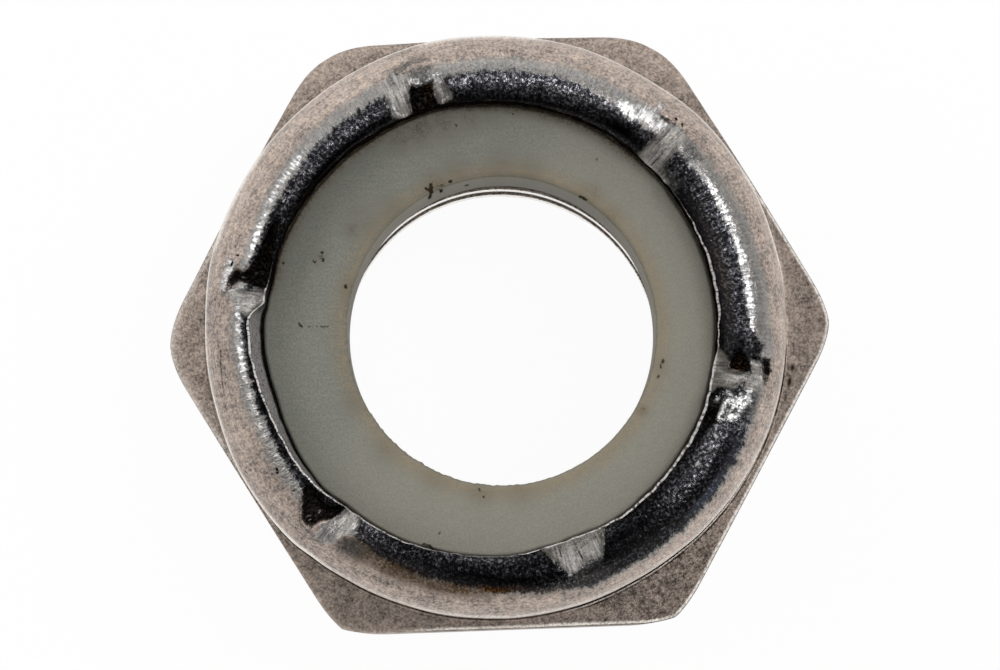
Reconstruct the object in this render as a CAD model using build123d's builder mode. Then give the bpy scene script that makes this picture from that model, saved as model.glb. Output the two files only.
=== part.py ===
from build123d import *
import math
import os

# A prevailing-torque hexagon nut with a ring of nylon held in its collar.
# Frame: the nut stands on its bearing face at Z = 0 with the collar up, the thread's axis is Z,
# and two of the six corners point along X. All sizes are in mm.

# Hexagon
across_flats = 14.2875
across_corners = 16.04  # the corners are turned off to this diameter
flat_height = 7.97  # from the bearing face to the middle of a flat's top edge
top_chamfer_angle = 30.0
bearing_diameter = 13.6
bottom_chamfer_angle = 30.0

# Collar and its rolled lip
overall_height = 11.4
collar_diameter = 14.0
collar_wall = 0.95
collar_root_bevel = 0.15  # in the corner between the collar and the hexagon's top chamfer
shoulder_height = 1.65  # from the top of the straight wall up to the crest of the lip
shoulder_width = 1.15  # from the straight wall in to the crest of the lip
lip_reach = 0.52  # from the crest in to the lip's edge, over the insert
lip_thickness = 1.23  # at the crest
lip_undercut = 0.12  # how far the lip's end face leans back under its edge
pocket_corner = 0.5  # bevel where the collar turns in over the insert

# Stakes: six notches pressed across the lip to lock the insert
stake_count = 6
stake_angle = 47.0  # of the first one, from +X
stake_depth = 0.34  # below the crest
stake_slope = 32.0  # of the notch floor, down towards the mouth
stake_inner_width = 1.35
stake_outer_width = 0.75
stake_reach = 0.5  # outward from the crest
stake_overhang = 0.5  # inward past the mouth

# Nylon insert
insert_thickness = 2.74
insert_bore = 7.356
insert_edge = 0.1  # bevel at both ends of the insert's bore
insert_clearance = 0.02  # between the insert and the pocket around it

# Thread, 3/8-16 UNC, right hand
thread_major = 9.525
thread_minor = 7.94
thread_pitch = 25.4 / 16
thread_angle = 60.0
root_flat = thread_pitch / 16
thread_runout = 0.8 * thread_pitch  # the groove runs on this far past both ends of the bore
thread_start = 63.4  # where the groove starts, turned from +X
groove_lead = 0.25  # the groove's section starts this far inside the bore
countersink_diameter = 9.8
countersink_angle = 90.0
shelf_chamfer = 0.3  # on the bore's edge at the shelf

# How far other cutting shapes run past the faces that they cut
overrun = 1.0

flat_distance = across_flats / 2
corner_radius = across_corners / 2
bearing_radius = bearing_diameter / 2
collar_radius = collar_diameter / 2
crest_radius = collar_radius - shoulder_width
mouth_radius = crest_radius - lip_reach
pocket_radius = collar_radius - collar_wall
minor_radius = thread_minor / 2
major_radius = thread_major / 2
countersink_radius = countersink_diameter / 2
insert_radius = pocket_radius - insert_clearance
insert_bore_radius = insert_bore / 2

top_slope = math.tan(math.radians(top_chamfer_angle))
bottom_slope = math.tan(math.radians(bottom_chamfer_angle))
corner_top = flat_height - (corner_radius - flat_distance) * top_slope
corner_bottom = (corner_radius - bearing_radius) * bottom_slope
collar_root = flat_height + (flat_distance - collar_radius) * top_slope
wall_top = overall_height - shoulder_height
lip_turn = 90 + math.degrees(math.asin(lip_reach / shoulder_width))
mouth_height = wall_top + shoulder_height * math.sin(math.radians(lip_turn))
insert_top = overall_height - lip_thickness
shelf_height = insert_top - insert_thickness  # the shelf carries the insert
countersink_slope = math.tan(math.radians(countersink_angle / 2))
countersink_depth = (countersink_radius - minor_radius) / countersink_slope

# The V groove of the thread
flank_slope = math.tan(math.radians(thread_angle / 2))
groove_depth = major_radius - minor_radius
groove_half_width = root_flat / 2 + (groove_depth + groove_lead) * flank_slope

# The tool that presses one stake, on +X: its floor falls from the crest towards the mouth
stake_rise = math.sin(math.radians(stake_slope))
stake_run = math.cos(math.radians(stake_slope))
stake_plane = Plane(
    origin=(crest_radius, 0, overall_height - stake_depth),
    x_dir=(stake_run, 0, stake_rise),
    z_dir=(-stake_rise, 0, stake_run),
)
stake_inner_end = -lip_reach - stake_overhang
with BuildPart() as stake_tool:
    with BuildSketch(stake_plane):
        with BuildLine():
            Polyline(
                (stake_inner_end, -stake_inner_width / 2),
                (stake_reach, -stake_outer_width / 2),
                (stake_reach, stake_outer_width / 2),
                (stake_inner_end, stake_inner_width / 2),
                close=True,
            )
        make_face()
    extrude(amount=overrun)

# What is bored out of the nut, with the thread's groove round it
with BuildPart() as bore_tool:
    # Countersink, bore, shelf, pocket and the underside of the lip
    with BuildSketch(Plane.XZ):
        with BuildLine():
            Polyline(
                (0, overall_height + overrun),
                (0, -overrun),
                (countersink_radius + overrun * countersink_slope, -overrun),
                (minor_radius, countersink_depth),
                (minor_radius, shelf_height - shelf_chamfer),
                (minor_radius + shelf_chamfer, shelf_height),
                (pocket_radius, shelf_height),
                (pocket_radius, insert_top - pocket_corner),
                (pocket_radius - pocket_corner, insert_top),
                (mouth_radius + lip_undercut, insert_top),
                (mouth_radius, mouth_height),
                (mouth_radius, overall_height + overrun),
                close=True,
            )
        make_face()
    revolve(axis=Axis.Z)

    # The thread's groove
    with BuildLine() as thread_path:
        Helix(
            pitch=thread_pitch,
            height=shelf_height + 2 * thread_runout,
            radius=minor_radius,
            center=(0, 0, -thread_runout),
        )
    thread_plane = Plane(origin=thread_path.line @ 0, x_dir=(1, 0, 0), z_dir=thread_path.line % 0)
    with BuildSketch(thread_plane):
        with BuildLine():
            Polyline(
                (-groove_lead, -groove_half_width),
                (groove_depth, -root_flat / 2),
                (groove_depth, root_flat / 2),
                (-groove_lead, groove_half_width),
                close=True,
            )
        make_face()
    sweep(path=thread_path.line, is_frenet=True)

with BuildPart() as nut_body:
    # Hexagon bar
    with BuildSketch():
        RegularPolygon(radius=flat_distance, side_count=6, major_radius=False)
    extrude(amount=overall_height)

    # Turned outside: bearing face, corners, chamfers, collar and rolled lip
    with BuildSketch(Plane.XZ) as turned_outline:
        with BuildLine():
            Polyline(
                (0, mouth_height),
                (0, 0),
                (bearing_radius, 0),
                (corner_radius, corner_bottom),
                (corner_radius, corner_top),
                (collar_radius, collar_root),
                (collar_radius, wall_top),
            )
            EllipticalCenterArc(
                center=(crest_radius, wall_top),
                x_radius=shoulder_width,
                y_radius=shoulder_height,
                start_angle=0,
                arc_size=lip_turn,
            )
            Line((mouth_radius, mouth_height), (0, mouth_height))
        make_face()
        root_corner = turned_outline.vertices().sort_by_distance((collar_radius, collar_root))[0]
        chamfer(root_corner, length=collar_root_bevel)
    revolve(axis=Axis.Z, mode=Mode.INTERSECT)

    # Bored inside, with the thread
    add(bore_tool.part, rotation=(0, 0, thread_start), mode=Mode.SUBTRACT)

    # Stakes
    with PolarLocations(radius=0, count=stake_count, start_angle=stake_angle):
        add(stake_tool.part, mode=Mode.SUBTRACT)

# Nylon ring, seated on the shelf, with its outer top corner pressed to the turn of the collar
with BuildPart() as nylon_insert:
    with BuildSketch(Plane.XZ) as insert_section:
        with BuildLine():
            Polyline(
                (insert_radius - pocket_corner, insert_top),
                (insert_bore_radius, insert_top),
                (insert_bore_radius, shelf_height),
                (insert_radius, shelf_height),
                (insert_radius, insert_top - pocket_corner),
                close=True,
            )
        make_face()
        bore_corners = insert_section.vertices().group_by(Axis.X)[0]
        chamfer(bore_corners, length=insert_edge)
    revolve(axis=Axis.Z)

nut_body.part.label = "nut_body"
nylon_insert.part.label = "nylon_insert"

os.makedirs("parts", exist_ok=True)
export_step(nut_body.part, "parts/nut_body.step")
export_step(nylon_insert.part, "parts/nylon_insert.step")
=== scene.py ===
"""A prevailing-torque hexagon nut: a tumbled steel body with a burnished, staked lip over a ring of nylon.

The script is laid out as an add-on. Run as a script it dresses the packed model: it makes the two pieces
and the stage. Mesh work is in millimetres until the last step."""

import math
from types import SimpleNamespace
from typing import NamedTuple

import bmesh
import bpy
import numpy as np
from bpy.props import FloatProperty, FloatVectorProperty, PointerProperty
from mathutils import Matrix, Vector


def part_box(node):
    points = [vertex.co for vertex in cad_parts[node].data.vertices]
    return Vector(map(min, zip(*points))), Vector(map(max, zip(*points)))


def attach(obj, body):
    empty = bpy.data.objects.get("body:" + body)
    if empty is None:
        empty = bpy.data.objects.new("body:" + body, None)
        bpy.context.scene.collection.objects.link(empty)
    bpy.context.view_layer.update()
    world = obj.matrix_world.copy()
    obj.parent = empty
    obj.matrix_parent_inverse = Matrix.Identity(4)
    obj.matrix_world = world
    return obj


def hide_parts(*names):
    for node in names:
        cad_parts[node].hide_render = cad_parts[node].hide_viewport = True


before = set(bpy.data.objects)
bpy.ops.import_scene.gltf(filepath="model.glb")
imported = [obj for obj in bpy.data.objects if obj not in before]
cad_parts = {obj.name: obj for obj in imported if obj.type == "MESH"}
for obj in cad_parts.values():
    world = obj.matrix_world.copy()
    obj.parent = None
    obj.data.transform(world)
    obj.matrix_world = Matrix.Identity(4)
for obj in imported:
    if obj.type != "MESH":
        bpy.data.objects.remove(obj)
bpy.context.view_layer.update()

bl_info = {
    "name": "Nylon insert lock nut",
    "version": (1, 0, 0),
    "blender": (4, 5, 0),
    "location": "View3D > Sidebar > Lock nut",
    "description": "Makes a staked lock nut, its nylon insert and a plain studio round them",
    "category": "Add Mesh",
}

MM = 0.001
TURN = 2 * math.pi
BODY_NODE = "nut_body"
INSERT_NODE = "nylon_insert"
_, BODY_HIGH = (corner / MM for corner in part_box(BODY_NODE))
INSERT_LOW, INSERT_HIGH = (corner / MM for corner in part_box(INSERT_NODE))


# ------------------------------------------------------------------ what the lip looks like, round its edge


class LipStation(NamedTuple):
    """How the lip and its burnished band lie at one angle. Reaches are outward from the crest, in mm."""

    angle: float  # degrees from +X
    edge: float  # where the lip's top ends and its end face starts
    foot: float  # where the end face meets the insert
    band: float  # outer limit of the dark burnished band
    satin: float  # width of the smoother grey metal outside the band
    line: float  # how bright the lip's edge is: a painted highlight on an edge worn bright
    face: float  # how bare the end face is, and painted lighter as lit, rather than painted black as shade


LIP_STATIONS = [LipStation(*row) for row in (
    (2, -0.65, -0.67, 0.03, 0.55, 1.3, 0.0),
    (12, -0.66, -0.67, 0.03, 0.52, 1.4, 0.0),
    (22, -0.66, -0.66, 0.04, 0.50, 0.8, 0.0),
    (32, -0.65, -0.65, 0.08, 0.44, 0.15, 0.0),
    (42, -0.63, -0.62, 0.06, 0.42, 0.1, 0.0),
    (52, -0.60, -0.59, -0.02, 0.46, 0.0, 0.0),
    (60, -0.57, -0.55, 0.06, 0.44, 0.0, 0.0),
    (72, -0.56, -0.53, 0.18, 0.34, 0.0, 0.0),
    (90, -0.51, -0.49, 0.19, 0.34, 0.0, 0.0),
    (105, -0.43, -0.41, 0.18, 0.32, 0.0, 0.0),
    (118, -0.43, -0.42, 0.22, 0.34, 0.0, 0.0),
    (133, -0.38, -0.38, 0.20, 0.34, 0.0, 0.0),
    (148, -0.34, -0.34, 0.14, 0.32, 0.0, 0.0),
    (158, -0.33, -0.32, 0.15, 0.25, 0.0, 0.0),
    (166, -0.36, -0.35, 0.20, 0.22, 0.1, 0.0),
    (172, -0.29, -0.31, 0.21, 0.24, 0.6, 0.2),
    (176.5, 0.01, -0.25, 0.22, 0.26, 0.7, 1.0),
    (183, 0.0, -0.25, 0.18, 0.30, 0.7, 1.0),
    (189, -0.05, -0.28, 0.15, 0.30, 0.65, 1.0),
    (195, -0.08, -0.31, 0.13, 0.30, 0.6, 1.0),
    (203, -0.13, -0.27, 0.10, 0.30, 0.5, 0.9),
    (213, -0.12, -0.22, 0.13, 0.26, 0.45, 0.8),
    (220, -0.16, -0.20, 0.20, 0.20, 0.4, 0.6),
    (228, -0.29, -0.30, 0.12, 0.10, 0.3, 0.2),
    (242, -0.31, -0.31, 0.26, 0.06, 0.3, 0.2),
    (255, -0.38, -0.38, 0.32, 0.05, 0.2, 0.3),
    (270, -0.43, -0.42, 0.44, 0.05, 0.2, 0.3),
    (282, -0.53, -0.52, 0.56, 0.05, 0.5, 0.3),
    (288, -0.57, -0.55, 0.66, 0.05, 0.5, 0.3),
    (300, -0.52, -0.51, 0.61, 0.05, 1.0, 0.1),
    (315, -0.58, -0.57, 0.62, 0.05, 1.2, 0.0),
    (330, -0.61, -0.59, 0.58, 0.06, 1.6, 0.0),
    (340, -0.65, -0.63, 0.45, 0.14, 1.3, 0.0),
    (347, -0.68, -0.66, 0.34, 0.26, 0.4, 0.0),
    (353, -0.66, -0.67, 0.38, 0.30, 0.5, 0.0),
    (358, -0.66, -0.67, 0.12, 0.46, 0.6, 0.0),
)]


# Soft patches on the lip: (degrees from +X, reach outward from the crest, spread in degrees along the turn,
# spread outward, strength). Reaches and outward spreads are in mm.
LIP_PATCHES = {
    "sheen": (  # lighter, grey places in the burnished band
        (17, -0.18, 18, 0.3, 0.35), (16, 0.02, 16, 0.09, 0.6), (77, 0.0, 24, 0.36, 0.58),
        (96, 0.0, 6, 0.24, 0.6), (102, -0.2, 3, 0.15, 0.5), (128, 0.0, 18, 0.2, 0.32),
        (158, -0.1, 3, 0.1, 0.25), (235, -0.22, 6, 0.1, 0.5), (262, -0.32, 12, 0.12, 0.35),
        (284, 0.4, 5, 0.16, 0.15), (294, -0.36, 6, 0.1, 0.3), (323, -0.08, 13, 0.28, 0.36),
        (330, -0.1, 5, 0.16, 0.9), (337, 0.3, 5, 0.2, 0.9), (355, -0.15, 6, 0.25, 0.5),
    ),
    "black": (  # the blackest places: painted shadow under the lip's edge and painted dark reflection in the band
        (107, -0.42, 15, 0.12, 1.0), (133, -0.32, 16, 0.12, 1.0), (155, -0.05, 5, 0.18, 0.8),
        (198, 0.0, 18, 0.08, 0.8), (260, 0.1, 18, 0.16, 1.0), (297, 0.05, 7, 0.28, 1.0),
        (305, -0.05, 5, 0.14, 0.8), (353, -0.15, 4, 0.3, 0.9), (335, -0.45, 8, 0.1, 0.7),
        (56, -0.4, 6, 0.2, 1.0), (80, -0.5, 20, 0.1, 0.8), (28, -0.52, 10, 0.1, 0.6),
    ),
    "bare": (  # painted highlight on bruised metal beside the band
        (-1, 0.13, 4, 0.07, 1.0), (5, 0.13, 6, 0.11, 1.25), (15, 0.13, 8, 0.11, 1.2),
        (25, 0.14, 7, 0.11, 1.25), (31, 0.16, 4, 0.07, 1.2), (139, 0.3, 3.5, 0.13, 0.75),
        (144, 0.32, 3, 0.12, 0.75), (149, 0.3, 3, 0.11, 0.75), (157, 0.24, 5, 0.07, 1.3),
        (176, 0.28, 4, 0.09, 0.8), (185, 0.26, 6, 0.11, 0.9), (198, 0.22, 8, 0.09, 0.6),
        (208, 0.18, 6, 0.08, 0.45), (323, -0.16, 3.5, 0.09, 0.5), (329, -0.14, 3, 0.09, 0.6),
    ),
    "brown": (  # stains
        (12, -0.42, 18, 0.14, 0.75), (236, 0.36, 5, 0.26, 1.5), (246, 0.38, 10, 0.2, 1.5),
        (258, 0.42, 9, 0.17, 1.4), (280, 0.5, 7, 0.1, 0.7), (288, 0.42, 5, 0.22, 0.6),
        (303, 0.28, 12, 0.22, 0.2), (102, 0.0, 2.2, 0.2, 0.5), (75, -0.56, 35, 0.06, 0.6),
        (125, -0.42, 25, 0.05, 0.4),
    ),
    "rust": (
        (267, 0.38, 7, 0.09, 1.1), (103, -0.02, 2.0, 0.18, 0.6), (348, -0.14, 2.0, 0.12, 0.6),
    ),
    "temper": (
        (15, -0.06, 15, 0.1, 0.35), (36, 0.1, 5, 0.14, 0.6), (76, 0.14, 18, 0.1, 0.3),
        (124, 0.08, 12, 0.1, 0.3), (320, 0.49, 8, 0.1, 0.9), (330, 0.42, 5, 0.14, 0.6),
    ),
    "pale": (  # paler tumbled steel, much of it painted light where the collar's shoulder catches it
        (0, 0.9, 16, 0.2, 0.8), (30, 0.9, 22, 0.24, 0.9), (65, 0.95, 22, 0.28, 0.9),
        (95, 0.95, 20, 0.35, 0.9), (125, 0.9, 20, 0.38, 1.3), (148, 0.9, 16, 0.35, 1.1),
        (200, 0.75, 18, 0.3, 0.4), (320, 0.85, 24, 0.12, 0.8),
    ),
}


class Stake(NamedTuple):
    """One stake mark pressed across the lip. Outlines hold (along, out) pairs in mm from the crest at its
    angle, along anticlockwise and out away from the axis."""

    angle: float
    facets: tuple = ()  # flat, scored faces
    scuffs: tuple = ()  # rubbed and dulled places
    pits: tuple = ()  # deep torn hollows
    glints: tuple = ()  # bruised metal with a painted highlight
    cuts: tuple = ()  # cracks and dark scores: points with a width at the end


STAKES = (
    Stake(
        47,
        facets=(
            ((0.22, -0.7), (0.14, -0.2), (0.04, 0.12), (0.0, 0.5), (-0.3, 0.52), (-0.36, 0.25),
             (-0.47, -0.05), (-0.52, -0.45), (-0.95, -0.58), (-0.9, -0.66), (-0.6, -0.7)),
        ),
        scuffs=(
            ((-0.5, -0.34), (-1.15, -0.4), (-1.2, -0.68), (-0.6, -0.7)),
            ((-0.5, 0.45), (-0.55, 0.05), (-0.95, 0.1), (-1.05, 0.4)),
        ),
        pits=(
            ((0.36, 0.47), (0.2, 0.48), (0.0, 0.53), (-0.1, 0.54), (-0.02, 0.45), (0.18, 0.39),
             (0.34, 0.4)),
        ),
        glints=(
            ((1.35, 0.15), (1.05, -0.08), (0.85, -0.1), (0.7, 0.05), (0.3, 0.1), (0.02, 0.22), (0.02, 0.42),
             (0.45, 0.42), (0.6, 0.5), (0.9, 0.32), (1.25, 0.22)),
            ((0.55, 0.72), (0.42, 0.72), (0.35, 0.55), (0.5, 0.5)),
        ),
        cuts=(
            ((-0.25, 0.33), (-0.24, 0.0), (-0.26, -0.6), 0.012),
            ((0.05, 0.62), (0.01, 0.6), 0.03),
            ((-0.12, 0.63), (-0.17, 0.58), 0.025),
        ),
    ),
    Stake(
        107,
        facets=(
            ((0.8, -0.3), (0.74, 0.05), (0.7, 0.45), (0.45, 0.7), (0.2, 0.5), (0.1, 0.25), (0.2, 0.0),
             (0.28, -0.35), (0.42, -0.5), (0.6, -0.46)),
            ((-0.36, 0.05), (-0.47, 0.26), (-0.62, 0.2), (-0.7, 0.0), (-0.8, -0.32), (-0.62, -0.42),
             (-0.45, -0.5)),
        ),
        scuffs=(
            ((0.1, 0.55), (0.05, 0.25), (-0.1, 0.12), (-0.3, 0.14), (-0.45, 0.3), (-0.5, 0.55),
             (-0.2, 0.62)),
            ((0.45, 0.7), (0.1, 0.82), (-0.4, 0.78), (-0.5, 0.66), (-0.1, 0.68), (0.15, 0.56), (0.35, 0.6)),
        ),
        pits=(
            ((0.2, 0.08), (0.1, 0.2), (0.0, 0.12), (-0.15, 0.1), (-0.32, 0.12), (-0.46, 0.2), (-0.4, -0.05),
             (-0.36, -0.42), (-0.1, -0.55), (0.25, -0.52), (0.3, -0.3)),
        ),
        glints=(
            ((0.06, 0.35), (0.0, 0.14), (-0.12, 0.12), (-0.1, 0.28)),
            ((-0.35, 0.2), (-0.45, 0.32), (-0.6, 0.24), (-0.66, 0.05), (-0.56, 0.05)),
            ((0.76, -0.05), (0.62, 0.0), (0.6, -0.36), (0.78, -0.3)),
        ),
        cuts=(((0.33, 0.61), (0.27, 0.56), 0.02), ((0.16, 0.55), (0.1, 0.52), 0.015)),
    ),
    Stake(
        167,
        facets=(
            ((0.9, 0.04), (0.8, 0.25), (0.6, 0.45), (0.4, 0.6), (0.32, 0.3), (0.3, 0.1), (0.24, -0.05),
             (0.26, -0.38), (0.56, -0.36), (0.66, -0.14)),
        ),
        pits=(
            ((0.38, 0.64), (0.1, 0.62), (-0.16, 0.5), (-0.1, 0.3), (-0.3, 0.15), (-0.7, 0.05),
             (-1.5, -0.02), (-1.45, -0.14), (-0.6, -0.3), (0.2, -0.36), (0.15, 0.0), (0.12, 0.35)),
        ),
        glints=(
            ((0.46, 0.72), (0.2, 0.78), (-0.3, 0.76), (-0.35, 0.62), (-0.15, 0.5), (0.1, 0.62),
             (0.35, 0.64)),
            ((0.4, 0.58), (0.3, 0.58), (0.3, 0.4), (0.4, 0.4)),
        ),
        cuts=(((-0.2, 0.62), (-0.27, 0.6), 0.03), ((-0.43, 0.55), (-0.44, 0.5), 0.025)),
    ),
    Stake(
        227,
        facets=(
            ((0.66, 0.12), (0.48, 0.25), (0.42, 0.55), (0.3, 0.7), (0.0, 0.72), (-0.06, 0.4), (0.02, 0.15),
             (0.12, -0.1), (0.14, -0.36), (0.5, -0.34), (0.62, -0.15)),
        ),
        scuffs=(
            ((0.3, 0.74), (0.1, 0.8), (-0.4, 0.78), (-0.45, 0.7), (-0.1, 0.7), (0.12, 0.68)),
            ((1.0, 0.25), (1.1, 0.5), (0.8, 0.6), (0.45, 0.66), (0.5, 0.3), (0.7, 0.2)),
        ),
        pits=(
            ((0.06, 0.16), (-0.12, 0.36), (-0.18, 0.6), (-0.3, 0.7), (-0.48, 0.66), (-0.7, 0.4),
             (-0.95, 0.12), (-0.9, -0.05), (-0.58, -0.14), (-0.36, -0.02), (-0.14, -0.08), (-0.06, -0.3),
             (0.12, -0.26)),
        ),
        glints=(
            ((0.3, 0.47), (0.25, 0.48), (0.12, 0.16), (0.17, 0.16)),
            ((0.02, 0.52), (-0.03, 0.52), (-0.02, 0.4), (0.03, 0.4)),
            ((0.64, 0.05), (0.56, 0.1), (0.52, -0.1), (0.58, -0.14)),
            ((-0.6, -0.12), (-0.6, -0.2), (-1.7, -0.17), (-1.7, -0.1)),
            ((-0.3, 0.4), (-0.34, 0.42), (-0.42, 0.2), (-0.38, 0.18)),
        ),
        cuts=(
            ((-0.45, 0.72), (-0.72, 0.42), (-0.98, 0.1), 0.015),
            ((-1.55, 0.4), (-1.66, 0.35), 0.03),
            ((-1.02, 0.35), (-1.04, 0.32), 0.025),
        ),
    ),
    Stake(
        287,
        facets=(
            ((0.94, -0.6), (0.66, -0.14), (0.54, 0.1), (0.2, 0.06), (0.0, 0.12), (-0.12, 0.22),
             (-0.34, 0.22), (-0.46, -0.02), (-0.84, -0.5), (-0.78, -0.6), (-0.2, -0.64), (0.3, -0.64)),
        ),
        scuffs=(
            ((0.5, 0.04), (0.4, 0.24), (0.1, 0.26), (-0.2, 0.4), (-0.3, 0.3), (-0.1, 0.14), (0.1, 0.04)),
        ),
        glints=(
            ((-0.44, 0.0), (-0.5, -0.02), (-0.8, -0.46), (-0.74, -0.47)),
            ((0.86, -0.44), (0.8, -0.46), (0.64, -0.16), (0.68, -0.15)),
            ((-0.3, 0.36), (-0.33, 0.34), (-0.36, 0.22), (-0.32, 0.24)),
        ),
        cuts=(((0.08, -0.02), (0.06, -0.25), 0.02), ((-0.38, -0.2), (-0.4, -0.55), 0.012)),
    ),
    Stake(
        347,
        facets=(
            ((0.6, -0.74), (0.45, -0.5), (0.2, -0.34), (0.02, -0.36), (0.0, -0.08), (0.02, 0.14),
             (-0.15, 0.1), (-0.42, -0.1), (-0.46, -0.5), (-0.62, -0.56), (-0.6, -0.74)),
            ((0.34, 0.44), (0.1, 0.45), (-0.1, 0.5), (-0.35, 0.5), (-0.4, 0.1), (-0.15, 0.14), (0.05, 0.22),
             (0.34, 0.16)),
        ),
        scuffs=(((-0.35, 0.55), (-0.35, 0.3), (-0.9, 0.32), (-1.0, 0.55)),),
        pits=(
            ((0.48, -0.08), (0.4, 0.06), (0.1, 0.2), (0.02, 0.12), (0.04, -0.3), (0.25, -0.32),
             (0.5, -0.22)),
            ((0.42, 0.62), (0.1, 0.7), (-0.18, 0.56), (0.05, 0.48), (0.3, 0.42), (0.32, 0.15),
             (0.45, 0.15)),
            ((-0.85, -0.28), (-1.2, -0.3), (-1.6, -0.4), (-1.5, -0.5), (-1.1, -0.52), (-0.85, -0.46)),
        ),
        glints=(
            ((-0.28, 0.34), (-0.6, 0.36), (-0.95, 0.22), (-0.98, 0.1), (-0.6, 0.12), (-0.36, 0.2)),
            ((-0.5, 0.1), (-0.85, 0.06), (-1.05, -0.06), (-1.02, -0.14), (-0.7, -0.06), (-0.55, 0.0)),
            ((-0.66, -0.12), (-0.95, -0.16), (-1.25, -0.14), (-1.3, -0.26), (-0.95, -0.32), (-0.72, -0.24)),
            ((-0.74, -0.34), (-0.96, -0.36), (-0.88, -0.48), (-0.74, -0.44)),
            ((-0.52, -0.1), (-0.58, -0.1), (-0.62, -0.34), (-0.58, -0.34)),
            ((-0.92, 0.24), (-1.12, 0.14), (-1.2, -0.06), (-1.0, -0.04)),
            ((-0.48, 0.3), (-0.72, 0.22), (-0.84, -0.22), (-0.66, -0.18)),
            ((0.32, 0.34), (0.26, 0.34), (0.26, 0.16), (0.31, 0.16)),
            ((0.02, 0.46), (-0.14, 0.5), (-0.12, 0.46), (0.0, 0.42)),
            ((0.7, 0.54), (0.5, 0.44), (0.48, 0.4), (0.56, 0.42)),
        ),
        cuts=(((0.4, -0.7), (0.3, -0.74), (0.0, -0.72), (-0.2, -0.74), 0.02),),
    ),
)


# Strokes on the lip or the collar, by the angle from which they are measured: (along, out) points in mm from
# the crest there, then half the stroke's width
# Light scratches, painted as highlights
SCRATCH_GLINTS = {
    17: (((0.35, -0.4), (0.2, -0.5), 0.012), ((-0.9, -0.15), (-1.0, -0.25), 0.012)),
    77: (
        ((1.55, 0.08), (1.55, -0.08), 0.022), ((-1.35, 0.22), (-1.35, 0.1), 0.02),
        ((-1.28, -0.15), (-1.27, -0.35), 0.014), ((0.42, 0.08), (0.4, 0.05), 0.02),
        ((0.9, 0.05), (0.86, -0.03), 0.018),
    ),
    137: (
        ((1.13, 0.01), (1.05, -0.02), 0.022), ((0.86, -0.23), (0.84, -0.24), 0.02),
        ((1.45, -0.3), (1.42, -0.31), 0.018),
    ),
    197: (((-0.95, 1.0), (-1.1, 1.02), 0.03),),
    257: (((-0.62, -0.33), (-0.6, -0.4), 0.03),),
    317: (
        ((0.75, 0.15), (0.62, -0.1), (0.48, -0.17), 0.016), ((0.7, -0.16), (0.58, -0.16), 0.022),
        ((-0.25, 0.1), (-0.37, -0.2), (-0.28, -0.32), 0.016),
        ((-1.08, 0.0), (-1.2, -0.25), (-1.38, -0.46), 0.01), ((0.96, -0.15), (0.92, -0.2), 0.03),
        ((0.5, 0.18), (0.36, 0.05), 0.008), ((-0.75, -0.18), (-0.78, -0.2), 0.02),
        ((1.4, -0.05), (1.45, -0.15), 0.03),
    ),
    347: (
        ((-0.9, 0.42), (-1.05, 0.2), (-1.1, 0.05), 0.012), ((0.62, 0.5), (0.5, 0.4), 0.012),
        ((0.84, 0.42), (0.66, 0.32), 0.01),
    ),
}
DARK_SCRATCHES = {
    17: (((0.17, 0.74), (0.0, 0.66), 0.012), ((-0.15, 0.73), (-0.17, 0.7), 0.018)),
    137: (((0.57, 0.92), (0.52, 0.84), 0.01), ((0.6, 0.78), (0.58, 0.62), 0.01)),
    197: (
        ((1.15, 0.95), (1.08, 0.86), (1.0, 0.82), 0.014), ((-0.5, 0.82), (-1.0, 0.78), (-1.5, 0.72), 0.012),
    ),
    257: (((-0.54, -0.36), (-0.5, -0.47), (-0.88, -0.41), 0.016),),
}


# Rusty spots on the hexagon's top chamfer: (degrees from +X, radius, half length, half width), lengths in mm
CHAMFER_SPOTS = (
    (351.4, 7.14, 0.10, 0.06),
    (348.6, 7.13, 0.15, 0.045),
    (345.2, 7.12, 0.12, 0.03),
    (349.5, 7.30, 0.05, 0.04),
)


# ------------------------------------------------------------------------------------ sizes and colours


def length(name, description, millimetres):
    """A size of the nut, shown in the scene's units."""
    return FloatProperty(
        name=name, description=description, default=millimetres * MM, unit="LENGTH", precision=5
    )


def tint(name, description, red, green, blue):
    """A colour, given on the screen's scale of 0 to 255 and kept in linear light."""
    linear = [(part / 255 / 12.92) if part < 11 else ((part / 255 + 0.055) / 1.055) ** 2.4
              for part in (red, green, blue)]
    return FloatVectorProperty(
        name=name, description=description, default=linear, subtype="COLOR", size=3, min=0, max=1
    )


class HexagonSizes(bpy.types.PropertyGroup):
    """The hexagon and its turned chamfers."""

    flat_distance: length("Flat distance", "From the axis to the middle of a flat", BODY_HIGH.y)
    flat_height: length("Flat height", "From the bearing face to the middle of a flat's top edge", 7.97)
    lean_x: length("Lean along X", "How far the bar's middle lies off the thread's axis", 0.012)
    lean_y: length("Lean along Y", "How far the bar's middle lies off the thread's axis", 0.027)
    bearing_radius: length("Bearing radius", "Outer radius of the flat bearing face", 6.8)
    edge_round: length("Edge round", "Tumbled round on the hexagon's edges", 0.12)
    chamfer_angle: FloatProperty(
        name="Chamfer angle", description="Slope of the chamfers at both ends", default=math.radians(30),
        subtype="ANGLE",
    )


class CollarSizes(bpy.types.PropertyGroup):
    """The round collar, its rolled lip and the pocket inside it."""

    height: length("Overall height", "From the bearing face to the crest of the lip", BODY_HIGH.z)
    crest_radius: length("Crest radius", "From the axis to the crest of the lip", 5.85)
    shoulder_height: length("Shoulder height", "From the top of the straight wall to the crest", 1.65)
    root_groove: length("Root groove", "Depth of the tool's groove round the root", 0.05)
    edge_round: length("Lip edge round", "On the lip's edge over the insert", 0.045)
    pocket_radius: length("Pocket radius", "Inside of the wall round the insert", 6.05)
    pocket_corner: length("Pocket corner", "Bevel where the wall turns in over the insert", 0.5)
    stake_depth: length("Stake depth", "Of a stake's facets at the lip's edge", 0.30)
    pit_depth: length("Pit depth", "Of the torn hollows beside the facets", 0.34)


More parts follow.
